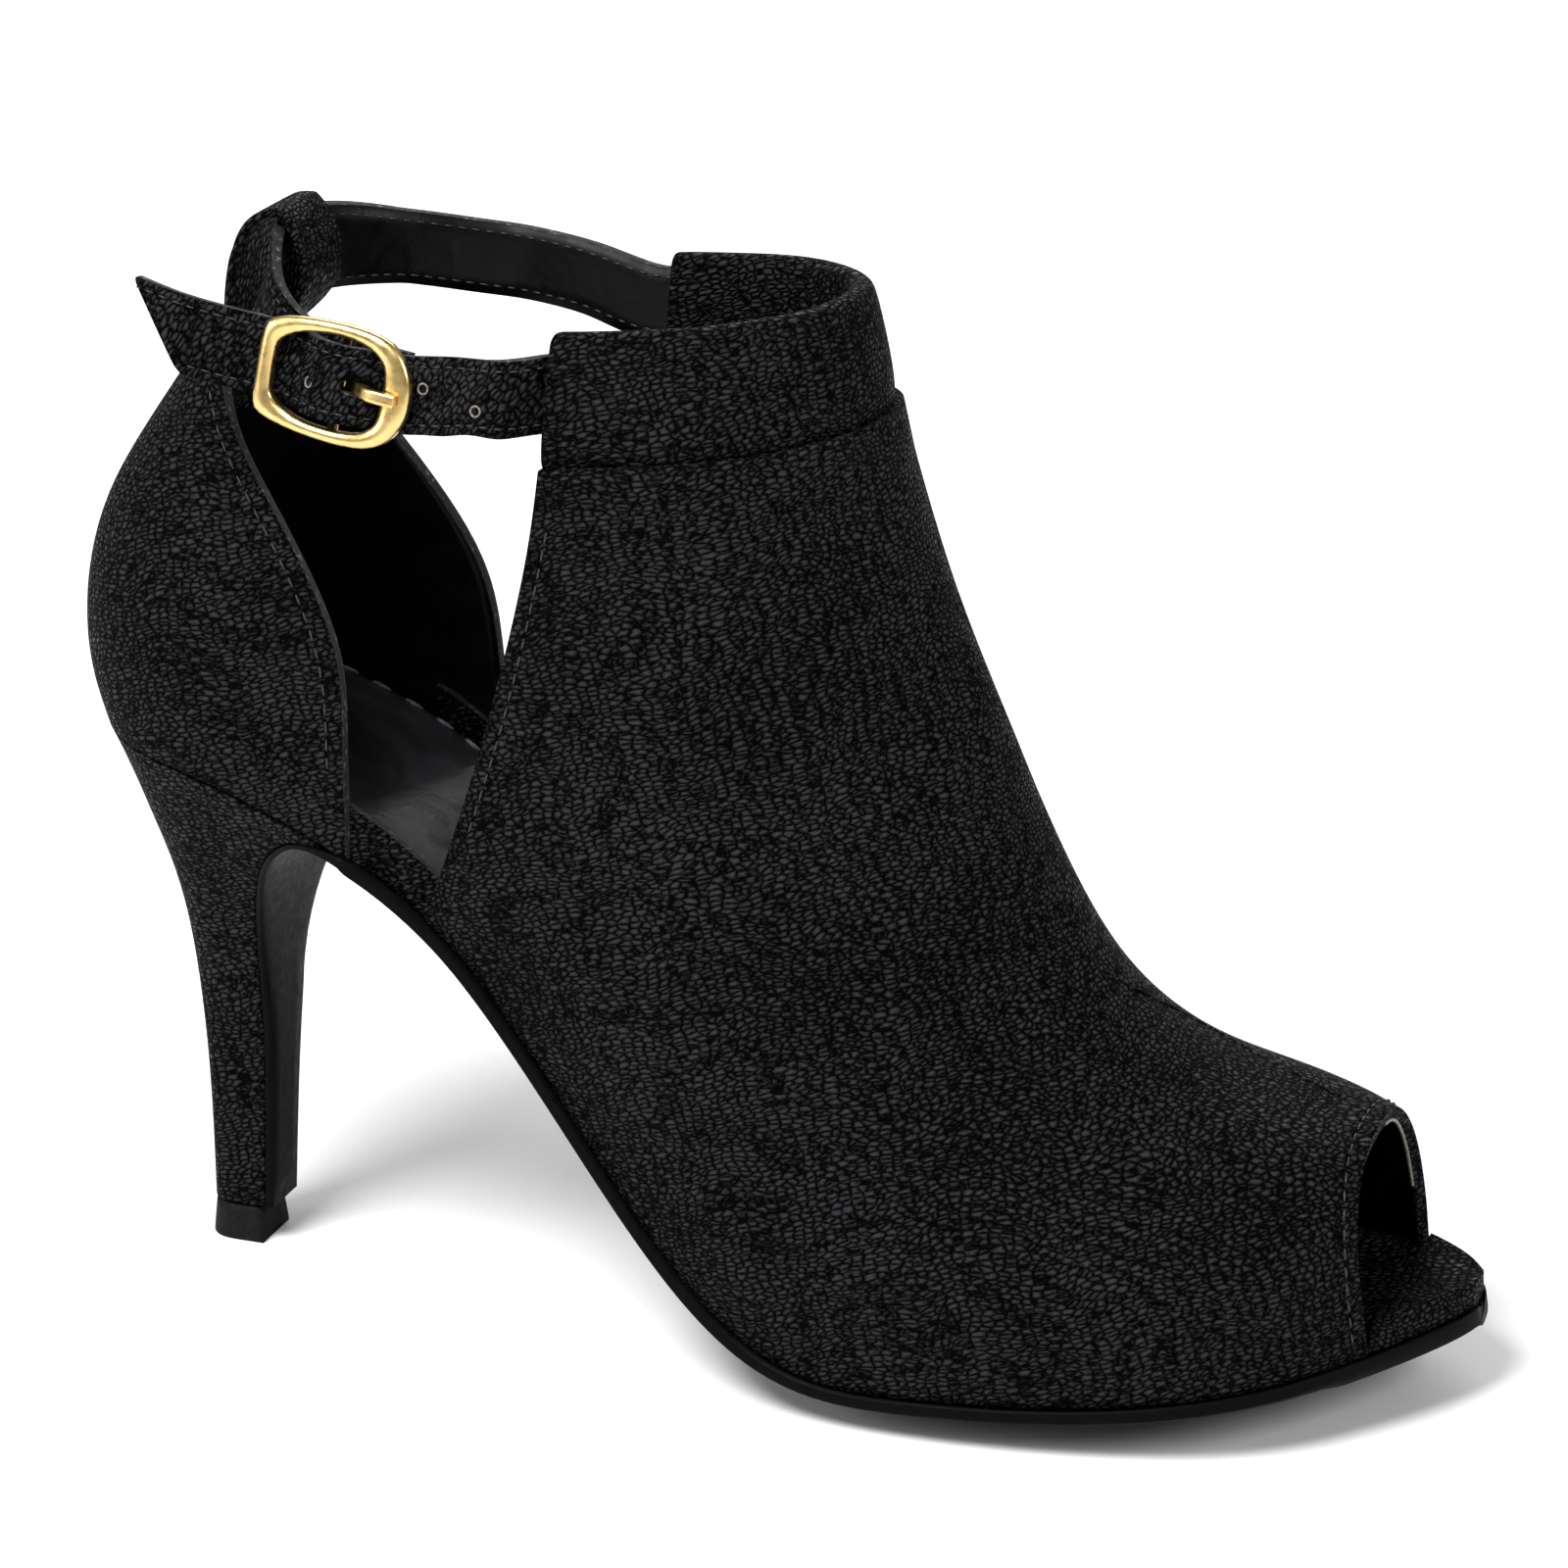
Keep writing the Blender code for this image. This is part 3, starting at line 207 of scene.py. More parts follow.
def smooth_lining(name, dark, light, gloss):
    """Smooth coated lining leather: fine pores, a few soft creases and a low shine."""
    material, tree, shader = finish(name, specular=0.14)
    place = add(tree, "ShaderNodeTexCoord").outputs["Object"]
    pores = add(tree, "ShaderNodeTexNoise", [("Vector", place)], scale=1 / (LINING_PORE_MM * MM),
                detail=4.0)
    creases = add(tree, "ShaderNodeTexNoise", [("Vector", place)], scale=1 / (LINING_CREASE_MM * MM),
                  detail=3.0, distortion=1.2).outputs["Fac"]
    faint = add(tree, "ShaderNodeMath", [(0, pores.outputs["Fac"])], [(1, 0.12)], operation="MULTIPLY")
    both = add(tree, "ShaderNodeMath", [(0, faint.outputs[0]), (1, creases)], operation="ADD")
    tint = add(tree, "ShaderNodeValToRGB", [("Fac", creases)], stops=((0.3, dark), (0.7, light)))
    tree.links.new(tint.outputs["Color"], shader.inputs["Base Color"])
    dullness = add(tree, "ShaderNodeMapRange", [("Value", creases)],
                   from_min=0.3, from_max=0.7, to_min=gloss - 0.06, to_max=gloss + 0.1)
    tree.links.new(dullness.outputs["Result"], shader.inputs["Roughness"])
    bump = add(tree, "ShaderNodeBump", [("Height", both.outputs[0])], strength=0.5, distance=0.5 * MM)
    tree.links.new(bump.outputs["Normal"], shader.inputs["Normal"])
    return material


def mottled(name, span_mm, detail, stops, dullness=None, strength=0.0, relief_mm=0.0, **levels):
    """A finish whose tone, and where given its shine and relief, vary with one cloudy pattern.

    Dullness is the roughness where the pattern is low and where it is high."""
    material, tree, shader = finish(name, **levels)
    place = add(tree, "ShaderNodeTexCoord").outputs["Object"]
    clouds = add(tree, "ShaderNodeTexNoise", [("Vector", place)], scale=1 / (span_mm * MM),
                 detail=detail).outputs["Fac"]
    tint = add(tree, "ShaderNodeValToRGB", [("Fac", clouds)], stops=stops)
    tree.links.new(tint.outputs["Color"], shader.inputs["Base Color"])
    if dullness:
        low, high = dullness
        shine = add(tree, "ShaderNodeMapRange", [("Value", clouds)],
                    from_min=0.3, from_max=0.7, to_min=low, to_max=high)
        tree.links.new(shine.outputs["Result"], shader.inputs["Roughness"])
    if relief_mm:
        bump = add(tree, "ShaderNodeBump", [("Height", clouds)], strength=strength, distance=relief_mm * MM)
        tree.links.new(bump.outputs["Normal"], shader.inputs["Normal"])
    return material


LEATHER = grained_leather("embossed_coated_leather")
STRAP_LEATHER = grained_leather("strap_leather", relief_mm=0.28, lean=radians(50))
HEEL_LEATHER = grained_leather("heel_cover_leather", relief_mm=0.3)
LINING = smooth_lining("black_lining_leather", "#020202", "#070708", 0.4)
SOCK_COVER = smooth_lining("black_sock_leather", "#262628", "#39393d", 0.34)
# The cut edge of coated leather: a thin pale fibrous line, mostly inked over
RAW_EDGE = mottled("cut_leather_edge", 0.9, 5.0, ((0.45, "#080808"), (0.6, "#22201e"), (0.75, "#7a746a")),
                   strength=0.6, relief_mm=0.2, roughness=0.85)
# Moulded rubber: an even charcoal with a dull sheen and a faint mould texture
SOLE_RUBBER = mottled("charcoal_sole_rubber", 1.4, 5.0, ((0.3, "#060607"), (0.7, "#0a0a0b")), (0.35, 0.52),
                      strength=0.5, relief_mm=0.04, specular=0.03)
LIFT_RUBBER = mottled("heel_tip_rubber", 0.8, 5.0, ((0.3, "#141415"), (0.7, "#1f1f21")), (0.45, 0.62),
                      strength=0.5, relief_mm=0.12, specular=0.03)
# Pale gold plating on a die-cast buckle: a bright polish with faint fine scratches
PLATE = mottled("pale_gold_plate", 1.6, 5.0, ((0.3, "#e0bd74"), (0.7, "#eccf90")), (0.24, 0.34),
                strength=0.06, relief_mm=0.05, metallic=1.0)
# Bonded thread with a slight sheen, a shade off the leather, and lighter grey on the sock, where the grey is
# partly the thread's tone and partly painted highlight of the puckered stitches
THREAD = mottled("black_thread", 0.3, 2.0, ((0.35, "#101011"), (0.65, "#242426")), roughness=0.5)
# The sock's thread: its own grey with a painted highlight of the puckered stitches
SOCK_THREAD_AND_HIGHLIGHT = mottled("sock_thread_and_painted_highlight", 0.3, 2.0, ((0.35, "#4a4a50"), (0.65, "#7c7c84")), roughness=0.5)
# The lining's undyed edge: a beige line inside the toe opening and round the strap's holes
LINING_EDGE = mottled("natural_lining_edge", 0.3, 2.0, ((0.35, "#4d483f"), (0.65, "#8a8274")), roughness=0.5)


def studio():
    """The pale floor, the camera of the photograph and soft lamps."""
    bpy.ops.object.select_all(action="DESELECT")
    bpy.ops.mesh.primitive_plane_add(size=FLOOR_WIDTH_MM * MM, location=(0, 0, 0))
    floor = bpy.context.object
    floor.name = "floor"
    # Matt white paint on a sweep: a clean pale ground that takes a soft shadow
    paint, _, shader = finish("matt_white_paint", specular=0.03, roughness=0.9)
    shader.inputs["Base Color"].default_value = colour("#f4f4f4")
    floor.data.materials.append(paint)

    turn, rise = radians(VIEW_AZIMUTH), radians(VIEW_ELEVATION)
    back = Vector((sin(turn) * cos(rise), -cos(turn) * cos(rise), sin(rise)))
    target = Vector(VIEW_TARGET_MM) * MM
    bpy.ops.object.camera_add(location=target + back * VIEW_DISTANCE_MM * MM)
    camera = bpy.context.object
    camera.rotation_euler = (-back).to_track_quat("-Z", "Y").to_euler()
    camera.data.lens = LENS_MM
    camera.data.sensor_width = SENSOR_MM
    camera.data.clip_start = NEAR_CLIP_MM * MM
    bpy.context.scene.camera = camera

    for name, place, aim, width, watts in LAMPS:
        bpy.ops.object.light_add(type="AREA", location=place)
        lamp = bpy.context.object
        lamp.name = name
        lamp.data.shape = "DISK"
        lamp.data.size = width
        lamp.data.energy = watts
        lamp.rotation_euler = (Vector(aim) - Vector(place)).to_track_quat("-Z", "Y").to_euler()

    world = bpy.data.worlds.new("studio_air")
    world.use_nodes = True
    world.node_tree.nodes["Background"].inputs["Color"].default_value = colour("#ffffff")
    world.node_tree.nodes["Background"].inputs["Strength"].default_value = AIR_LIGHT
    bpy.context.scene.world = world
    bpy.context.scene.view_settings.view_transform = "Standard"


# Making the pieces

def pick(piece):
    """Makes a piece the only selected and active object."""
    bpy.ops.object.select_all(action="DESELECT")
    piece.select_set(True)
    bpy.context.view_layer.objects.active = piece


def settle(piece, node=None):
    """The piece rides with the shoe and stands for the node, if one is named."""
    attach(piece, "root")
    if node:
        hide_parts(node)
    return piece


def solid_copy(node, name):
    """A copy of a CAD solid, its triangles merged and joined to four-sided faces."""
    piece = bpy.data.objects.new(name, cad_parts[node].data.copy())
    bpy.context.scene.collection.objects.link(piece)
    piece.data.materials.clear()
    pick(piece)
    bpy.ops.mesh.customdata_custom_splitnormals_clear()
    bpy.ops.object.mode_set(mode="EDIT")
    bpy.ops.mesh.select_all(action="SELECT")
    bpy.ops.mesh.remove_doubles(threshold=0.001 * MM)
    bpy.ops.mesh.tris_convert_to_quads(face_threshold=radians(35), shape_threshold=radians(60))
    bpy.ops.object.mode_set(mode="OBJECT")
    return piece


def crease_cut_edges(piece, amount, rounded):
    """Keeps the cut edges crisp when the piece is subdivided, but for corners inside the rounded finish."""
    bm = bmesh.new()
    bm.from_mesh(piece.data)
    layer = bm.edges.layers.float.get("crease_edge") or bm.edges.layers.float.new("crease_edge")
    for edge in bm.edges:
        if len(edge.link_faces) != 2 or all(face.material_index == rounded for face in edge.link_faces):
            continue
        if edge.calc_face_angle() > CUT_EDGE:
            edge[layer] = amount
    bm.to_mesh(piece.data)
    bm.free()


def subdivide(piece, levels):
    """Rounds the faceted form into the smooth one it stands for."""
    layer = piece.modifiers.new("rounding", "SUBSURF")
    layer.levels = levels
    layer.render_levels = levels
    layer.use_limit_surface = False
    pick(piece)
    bpy.ops.object.modifier_apply(modifier=layer.name)
    bpy.ops.object.shade_smooth()


def surface_of(piece):
    """A search tree of the piece's faces."""
    bm = bmesh.new()
    bm.from_mesh(piece.data)
    tree = BVHTree.FromBMesh(bm)
    bm.free()
    return tree


def bell(away):
    """1 at the middle, falling smoothly to nothing at 1."""
    return (1 - away * away) ** 2 if away < 1 else 0.0


def share(value, start, end):
    """How far a value is from start to end, held between 0 and 1."""
    return min(max((value - start) / (end - start), 0), 1)


# Skins, rims and lines

def skins(piece):
    """The piece's faces in the groups that its cut edges part, the largest group first."""
    bm = bmesh.new()
    bm.from_mesh(piece.data)
    waiting = set(bm.faces)
    groups = []
    while waiting:
        first = min(waiting, key=lambda face: face.index)
        waiting.remove(first)
        group, front = [first.index], [first]
        while front:
            for side in front.pop().edges:
                if len(side.link_faces) == 2 and side.calc_face_angle() < CUT_EDGE:
                    for other in side.link_faces:
                        if other in waiting:
                            waiting.remove(other)
                            group.append(other.index)
                            front.append(other)
        groups.append(group)
    area = {face.index: face.calc_area() for face in bm.faces}
    bm.free()
    return sorted(groups, key=lambda group: -sum(area[index] for index in group))


def rim_runs(piece, skin):
    """Ordered lines of (place, direction into the skin) along a skin's borders, the longest first."""
    bm = bmesh.new()
    bm.from_mesh(piece.data)
    bm.faces.ensure_lookup_table()
    inside = {bm.faces[index] for index in skin}
    inward, beside = {}, {}
    for side in bm.edges:
        mine = [face for face in side.link_faces if face in inside]
        if len(mine) != 1:
            continue
        first, second = side.verts
        way = mine[0].normal.cross(second.co - first.co).normalized()
        if way.dot(mine[0].calc_center_median() - first.co) < 0:
            way.negate()
        for vertex, other in ((first, second), (second, first)):
            inward[vertex] = inward.get(vertex, Vector()) + way
            beside.setdefault(vertex, []).append(other)
    runs, seen = [], set()
    for start in sorted(beside, key=lambda vertex: vertex.index):
        if start in seen:
            continue
        run, here = [], start
        while here is not None:
            seen.add(here)
            run.append((here.co.copy(), inward[here].normalized()))
            here = next((other for other in beside[here] if other not in seen), None)
        runs.append(run)
    bm.free()
    return sorted(runs, key=lambda run: -len(run))


def inset_line(run, inset_mm, keep=None):
    """The run moved into its skin: the closed loop, or with keep the longest row of points that pass it."""
    if not keep:
        points = [place + way * inset_mm * MM for place, way in run]
        return points + points[:1]
    marks = [keep(place / MM) for place, _ in run]
    if not all(marks):
        start = marks.index(False)
        run, marks = run[start:] + run[:start], marks[start:] + marks[:start]
        best, now = [], []
        for item, mark in zip(run + [None], marks + [False]):
            if mark:
                now.append(item)
            else:
                best = now if len(now) > len(best) else best
                now = []
        run = best
    return [place + way * inset_mm * MM for place, way in run]


def paced(points, pitch):
    """Points along a line at an even pitch, with the direction at each."""
    found, left = [], 0.0
    for start, end in zip(points, points[1:]):
        span = (end - start).length
        way = (end - start).normalized()
        reach = left
        while reach < span:
            found.append((start + way * reach, way))
            reach += pitch
        left = reach - span
    return found


def softened(points):
    """The line with its corners eased, its ends kept."""
    for _ in range(2):
        middle = [(a + 2 * b + c) / 4 for a, b, c in zip(points, points[1:], points[2:])]
        points = [points[0], *middle, points[-1]]
    return points


# Sewing: a stitch's length, the pitch, the thread's radius, and the share of the thread sunk in the leather
UPPER_SEWING_MM = (2.1, 2.9, 0.2)
STRAP_SEWING_MM = (1.5, 2.2, 0.16)
SOCK_SEWING_MM = (4.2, 6.4, 0.4)
THREAD_SUNK = 0.25
STRAP_SEAM_INSET_MM = 1.5
SOCK_SEAM_INSET_MM = 6.0
EDGE_STEPS = 6
CLEAR_OF_EDGE_MM = 12


def sewn(name, lines, tree, sewing_mm=UPPER_SEWING_MM, thread=THREAD):
    """Stitches laid on a surface along lines, each a short round length of thread."""
    length, pitch, radius = (size * MM for size in sewing_mm)
    bpy.ops.object.select_all(action="DESELECT")
    bpy.ops.mesh.primitive_uv_sphere_add(segments=6, ring_count=5, radius=1)
    model = bpy.context.object
    model.data.transform(Matrix.Diagonal((length / 2, radius, radius, 1)))
    made = []
    for line in lines:
        for place, way in paced(softened(line), pitch):
            spot, normal, _, _ = tree.find_nearest(place)
            along = (way - normal * way.dot(normal)).normalized()
            turn = Matrix((along, normal.cross(along), normal)).transposed().to_4x4()
            turn.translation = spot + normal * radius * (1 - 2 * THREAD_SUNK)
            stitch = bpy.data.objects.new("stitch", model.data.copy())
            stitch.data.transform(turn)
            bpy.context.scene.collection.objects.link(stitch)
            made.append(stitch)
    bpy.data.objects.remove(model)
    bpy.ops.object.select_all(action="DESELECT")
    for stitch in made:
        stitch.select_set(True)
    bpy.context.view_layer.objects.active = made[0]
    bpy.ops.object.join()
    row = bpy.context.object
    row.name = name
    row.data.materials.append(thread)
    bpy.ops.object.shade_smooth()
    settle(row)


def welt(name, points, radius_mm, material):
    """A thin raised line along points."""
    data = bpy.data.curves.new(name, "CURVE")
    data.dimensions = "3D"
    data.bevel_depth = radius_mm * MM
    data.bevel_resolution = 3
    data.use_fill_caps = True
    row = data.splines.new("NURBS")
    row.points.add(len(points) - 1)
    for place, point in zip(row.points, points):
        place.co = (*point, 1)
    row.order_u = 3
    row.use_endpoint_u = True
    line = bpy.data.objects.new(name, data)
    bpy.context.scene.collection.objects.link(line)
    pick(line)
    bpy.ops.object.convert(target="MESH")
    line.data.materials.append(material)
    bpy.ops.object.shade_smooth()
    settle(line)


def mark_edges(piece, runs, inset_mm=SEAM_INSET_MM):
    """Writes each vertex's distance from the stitched edges, for the leather's pressed seam.

    A seam at an inset of its own is written as if it lay at the leather's usual one."""
    near = KDTree(sum(len(run) for run in runs) * EDGE_STEPS)
    for run in runs:
        for start, end in zip(run, run[1:]):
            for step in range(EDGE_STEPS):
                near.insert(start.lerp(end, step / EDGE_STEPS), 0)
    near.balance()
    field = piece.data.attributes.new("to_edge_mm", "FLOAT", "POINT")
    for vertex in piece.data.vertices:
        away = near.find(vertex.co)[2] / MM + SEAM_INSET_MM - inset_mm
        field.data[vertex.index].value = min(away, CLEAR_OF_EDGE_MM)


def dressed(node, name, materials, levels=2, crease=0.7, sort=None, reshape=None, prepare=None):
    """A soft copy of a CAD solid with its finish. Materials go to its skins in the order that sort gives.

    Where there are three materials the third is a strap's edge, whose corners are rounded.
    Also gives the borders of the first three skins."""
    piece = solid_copy(node, name)
    if prepare:
        prepare(piece)
    groups = skins(piece)
    if sort:
        groups = sort(piece, groups)
    for rank, group in enumerate(groups):
        for index in group:
            piece.data.polygons[index].material_index = min(rank, len(materials) - 1)
    if reshape:
        reshape(piece)
    runs = [rim_runs(piece, group) for group in groups[:3]]
    crease_cut_edges(piece, crease, 2 if len(materials) == 3 else None)
    for material in materials:
        piece.data.materials.append(material)
    subdivide(piece, levels)
    return settle(piece, node), runs


studio()

# The upper: smooth inside, grained outside on the vamp and on the counter, pale where the leather is cut

# Parts of its rims: where the vamp's and the counter's side edges, the toe opening and the top edge are
VAMP_EDGE_FROM_MM = 43.5
VAMP_EDGE_HEIGHTS_MM = (84, 141)
COUNTER_EDGE_TO_MM = 36
COUNTER_EDGE_ABOVE_MM = 90
PEEP_FROM_MM = 187
PEEP_ABOVE_MM = 14
PEEP_RIM_FROM_MM = 188
TOP_RIM_ABOVE_MM = 143
STRIP_ABOVE_MM = 55
SIDEWAYS = 0.8
# How far the vamp's top edge rises into the cuff
TUCK_FROM_MM = (55, 142.6)
TUCK_MM = 0.9
# The leather's soft unevenness over the last, clear of the sole's edge and of the open sides
WAVE_SPAN_MM = 26
WAVE_MM = 0.55
WAVE_HEIGHTS_MM = (12, 24)
WAVE_STATIONS_MM = (44, 58)
# The dents that show: place, reach, depth
DENTS_MM = (
    ((128, -34, 42), 9, 1.1),
    ((117, -36, 30), 8, -0.5),
    ((80, -30, 108), 14, 0.7),
    ((104, -24, 92), 11, 0.6),
    ((150, -31, 26), 10, 0.5),
)


def tucked_and_eased(piece):
    """The vamp's top edge rises into the folded cuff, and the leather eases off the last's exact form.

    Both faces of the wall move together."""
    for vertex in piece.data.vertices:
        if vertex.co.x > TUCK_FROM_MM[0] * MM and vertex.co.z > TUCK_FROM_MM[1] * MM:
            vertex.co.z += TUCK_MM * MM
    for vertex in piece.data.vertices:
        place = vertex.co / MM
        drift = noise.noise_vector(place / WAVE_SPAN_MM) * WAVE_MM
        for centre, reach, depth in DENTS_MM:
            drift.y += depth * bell((place - Vector(centre)).length / reach)
        vertex.co += drift * share(place.z, *WAVE_HEIGHTS_MM) * share(place.x, *WAVE_STATIONS_MM) * MM


def by_skin(piece, groups):
    """The lining, the vamp, the counter, the cut edges, and then the turned rims and the low strips."""
    faces = piece.data.polygons
    grained, cut = [], []
    for group in groups[3:]:
        facing = sum((faces[index].normal * faces[index].area for index in group), Vector()).normalized()
        centre = sum((faces[index].center for index in group), Vector()) / len(group) / MM
        strip = abs(facing.y) > SIDEWAYS and centre.z > STRIP_ABOVE_MM
        turned = centre.z > TOP_RIM_ABOVE_MM or centre.x > PEEP_RIM_FROM_MM
        (grained if strip or turned else cut).extend(group)
    return [groups[0], groups[1], groups[2], cut, grained]


def on_vamp(side):
    low, high = VAMP_EDGE_HEIGHTS_MM
    return lambda p: p.x > VAMP_EDGE_FROM_MM and p.y * side > 0 and low < p.z < high


def on_counter(p):
    return p.x < COUNTER_EDGE_TO_MM and p.z > COUNTER_EDGE_ABOVE_MM


def on_peep(p):
    return p.x > PEEP_FROM_MM and p.z > PEEP_ABOVE_MM


upper, (lining_rims, vamp_rims, counter_rims) = dressed(
    "upper", "upper_leather", [LINING, LEATHER, LEATHER, RAW_EDGE, LEATHER], crease=0.5,
    sort=by_skin, reshape=tucked_and_eased)
upper_skin = surface_of(upper)
seams = [
    (vamp_rims[0], on_vamp(-1)),
    (vamp_rims[0], on_vamp(1)),
    (vamp_rims[0], on_peep),
    (counter_rims[0], on_counter),
]
mark_edges(upper, [inset_line(rim, 0, test) for rim, test in seams])
sewn("upper_stitches", [inset_line(rim, SEAM_INSET_MM, test) for rim, test in seams], upper_skin)

# The cuff. Its seam rises to the front: the height at the side's edge, that edge's station, and the slope
CUFF_SEAM_MM = 144
CUFF_SEAM_FROM_MM = 66
CUFF_SEAM_SLOPE = 0.107
CUFF_MIDDLE_MM = 84
CUFF_HEIGHT_MM = 20
CUFF_EDGE_MM = 2.5
CUFF_DROP_MM = 0.7
CUFF_OUT_MM = 1.0
CUFF_OUT_REACH_MM = 14
CUFF_FULL_MM = 0.4
CUFF_WAVE_SPAN_MM = 14
CUFF_WAVE_MM = 0.3


def turned_down(piece):
    """The cuff's lower edge lies flush with the vamp, and its fold is a little full and uneven."""
    for vertex in piece.data.vertices:
        place = vertex.co / MM
        above = place.z - CUFF_SEAM_MM - (place.x - CUFF_SEAM_FROM_MM) * CUFF_SEAM_SLOPE
        away = (place - Vector((CUFF_MIDDLE_MM, 0, place.z))).normalized()
        out = CUFF_OUT_MM * (1 - share(above, 0, CUFF_OUT_REACH_MM))
        full = CUFF_FULL_MM * sin(pi * share(above, 0, CUFF_HEIGHT_MM))
        if above < CUFF_EDGE_MM:
            vertex.co.z -= CUFF_DROP_MM * MM
        vertex.co += (away * (out + full) + noise.noise_vector(place / CUFF_WAVE_SPAN_MM) * CUFF_WAVE_MM) * MM


dressed("cuff", "cuff_leather", [LEATHER], levels=3, crease=0.12, reshape=turned_down)

# The raised centre seam behind the toe opening, followed in the photograph's pixels
PHOTO_WIDTH = 1600
CENTRE_SEAM_PIXELS = ((1150, 1005), (1205, 1032), (1262, 1064), (1325, 1098), (1384, 1127))
CENTRE_SEAM_STEPS = 5
CENTRE_SEAM_RADIUS_MM = 0.42
CENTRE_SEAM_SUNK = 0.45


def sighted(pixel):
    """Where the photograph's line of sight through a pixel starts, and its direction."""
    camera = bpy.context.scene.camera
    reach = camera.data.sensor_width / camera.data.lens / PHOTO_WIDTH
    across = (pixel[0] - PHOTO_WIDTH / 2) * reach
    down = (pixel[1] - PHOTO_WIDTH / 2) * reach
    way = camera.matrix_world.to_3x3() @ Vector((across, -down, -1))
    return camera.matrix_world.translation, way.normalized()


bpy.context.view_layer.update()
crest = []
for start, end in zip(CENTRE_SEAM_PIXELS, CENTRE_SEAM_PIXELS[1:]):
    for step in range(CENTRE_SEAM_STEPS):
        pixel = [a + (b - a) * step / CENTRE_SEAM_STEPS for a, b in zip(start, end)]
        spot, normal, _, _ = upper_skin.ray_cast(*sighted(pixel))
        if spot:
            crest.append(spot - normal * CENTRE_SEAM_RADIUS_MM * CENTRE_SEAM_SUNK * MM)
welt("centre_seam", crest, CENTRE_SEAM_RADIUS_MM, LEATHER)

# The lining's pale edge on the far side of the toe opening
FAR_RIM_FROM_MM = (4, 22)
FAR_RIM_RADIUS_MM = 0.3
FAR_RIM_INSET_MM = 0.1

far_rim = inset_line(lining_rims[0], FAR_RIM_INSET_MM,
                     lambda p: p.x > PEEP_FROM_MM and p.y > FAR_RIM_FROM_MM[0] and p.z > FAR_RIM_FROM_MM[1])
welt("peep_lining_edge", far_rim, FAR_RIM_RADIUS_MM, LINING_EDGE)

# The heel loop and the ankle strap

# What the strap goes round, and the middle of the loop
ANKLE = Vector((45, 0, 150)) * MM
LOOP = Vector((12, 0, 162)) * MM
EDGEWISE = 0.75
# The strap fills the loop: from which station back it widens, where it is widest, and by what share
LOOP_FILL_STATIONS_MM = (14, 24)
LOOP_FILL = 0.22
LOOP_SIDE_MM = 4
STRAP_REACH_MM = 13
# The far side's bow in the solid, taken out: depth, station, reach
FAR_BOW_MM = 3.0
FAR_BOW_AT_MM = 52
FAR_BOW_REACH_MM = 14
# The slanted tip
TIP_TO_MM = 20
TIP_FACING = 0.6
TIP_ROUND_MM = 2.2
# The punched holes: place in the solid, and how far each moves along and up towards the photograph's place
HOLES_MM = (
    ((29.3, -29.5, 156.8), 0.8, -1.1),
    ((47.4, -29.3, 154.0), 0.6, 2.0),
    ((56.4, -31.4, 152.9), 0.9, 1.1),
)
HOLE_SHIFT_REACH_MM = 6
HOLE_RADIUS_MM = 0.8
HOLE_RIM_MM = 0.16
HOLE_RIM_PROUD_MM = 0.14
# How far each hole's disc of painted shade stands proud, and how flat it is
PAINTED_SHADE_PROUD_MM = 0.06
PAINTED_SHADE_DEPTH = 0.12
HOLE_PROBE_MM = 2.2
OUTSIDE_MM = -60


def banded(across, centre, grained=lambda place: False):
    """Sorts a strap's faces into outer, inner and edge by its width's direction and the place it goes round.

    Inner faces whose place passes grained count as outer ones too."""
    flat = Vector((1, 1, 1)) - across

    def sort(piece, groups):
        outer, inner, edges = [], [], []
        for face in piece.data.polygons:
            out = face.normal.dot((face.center - centre) * flat) > 0
            if abs(face.normal.dot(across)) > EDGEWISE:
                edges.append(face.index)
            else:
                (outer if out or grained(face.center / MM) else inner).append(face.index)
        return [outer, inner, edges]

    return sort


def in_loop(p):
    return p.x < LOOP_FILL_STATIONS_MM[1] and p.y < LOOP_SIDE_MM


def straightened(piece):
    """The strap's far side runs straight, and the strap spreads to fill the heel loop."""
    for vertex in piece.data.vertices:
        if vertex.co.y > 0:
            vertex.co.y -= FAR_BOW_MM * MM * bell(abs(vertex.co.x / MM - FAR_BOW_AT_MM) / FAR_BOW_REACH_MM)
    widest, end = LOOP_FILL_STATIONS_MM
    rows = [vertex for vertex in piece.data.vertices if vertex.co.x < end * MM]
    for vertex in rows:
        beside = [other.co.z for other in rows if (other.co - vertex.co).length < STRAP_REACH_MM * MM]
        middle = (max(beside) + min(beside)) / 2
        fill = 1 - max(vertex.co.x / MM - widest, 0) / (end - widest)
        vertex.co.z = middle + (vertex.co.z - middle) * (1 + LOOP_FILL * fill)


def blunted(piece):
    """Rounds the two corners of the strap's slanted tip."""
    bm = bmesh.new()
    bm.from_mesh(piece.data)
    corners = [
        edge for edge in bm.edges
        if len(edge.link_faces) == 2 and edge.calc_face_angle() > CUT_EDGE
        and (edge.verts[0].co + edge.verts[1].co).x / 2 < TIP_TO_MM * MM
        and all(abs(face.normal.y) < TIP_FACING for face in edge.link_faces)
    ]
    bmesh.ops.bevel(bm, geom=corners, offset=TIP_ROUND_MM * MM, segments=3, profile=0.5, affect="EDGES")
    bm.to_mesh(piece.data)
    bm.free()


def moved_holes(piece):
    """Each punched hole moves towards its place in the photograph, and the leather follows."""
    for place, along, up in HOLES_MM:
        for vertex in piece.data.vertices:
            pull = bell((vertex.co / MM - Vector(place)).length / HOLE_SHIFT_REACH_MM)
            vertex.co += Vector((along, 0, up)) * pull * MM


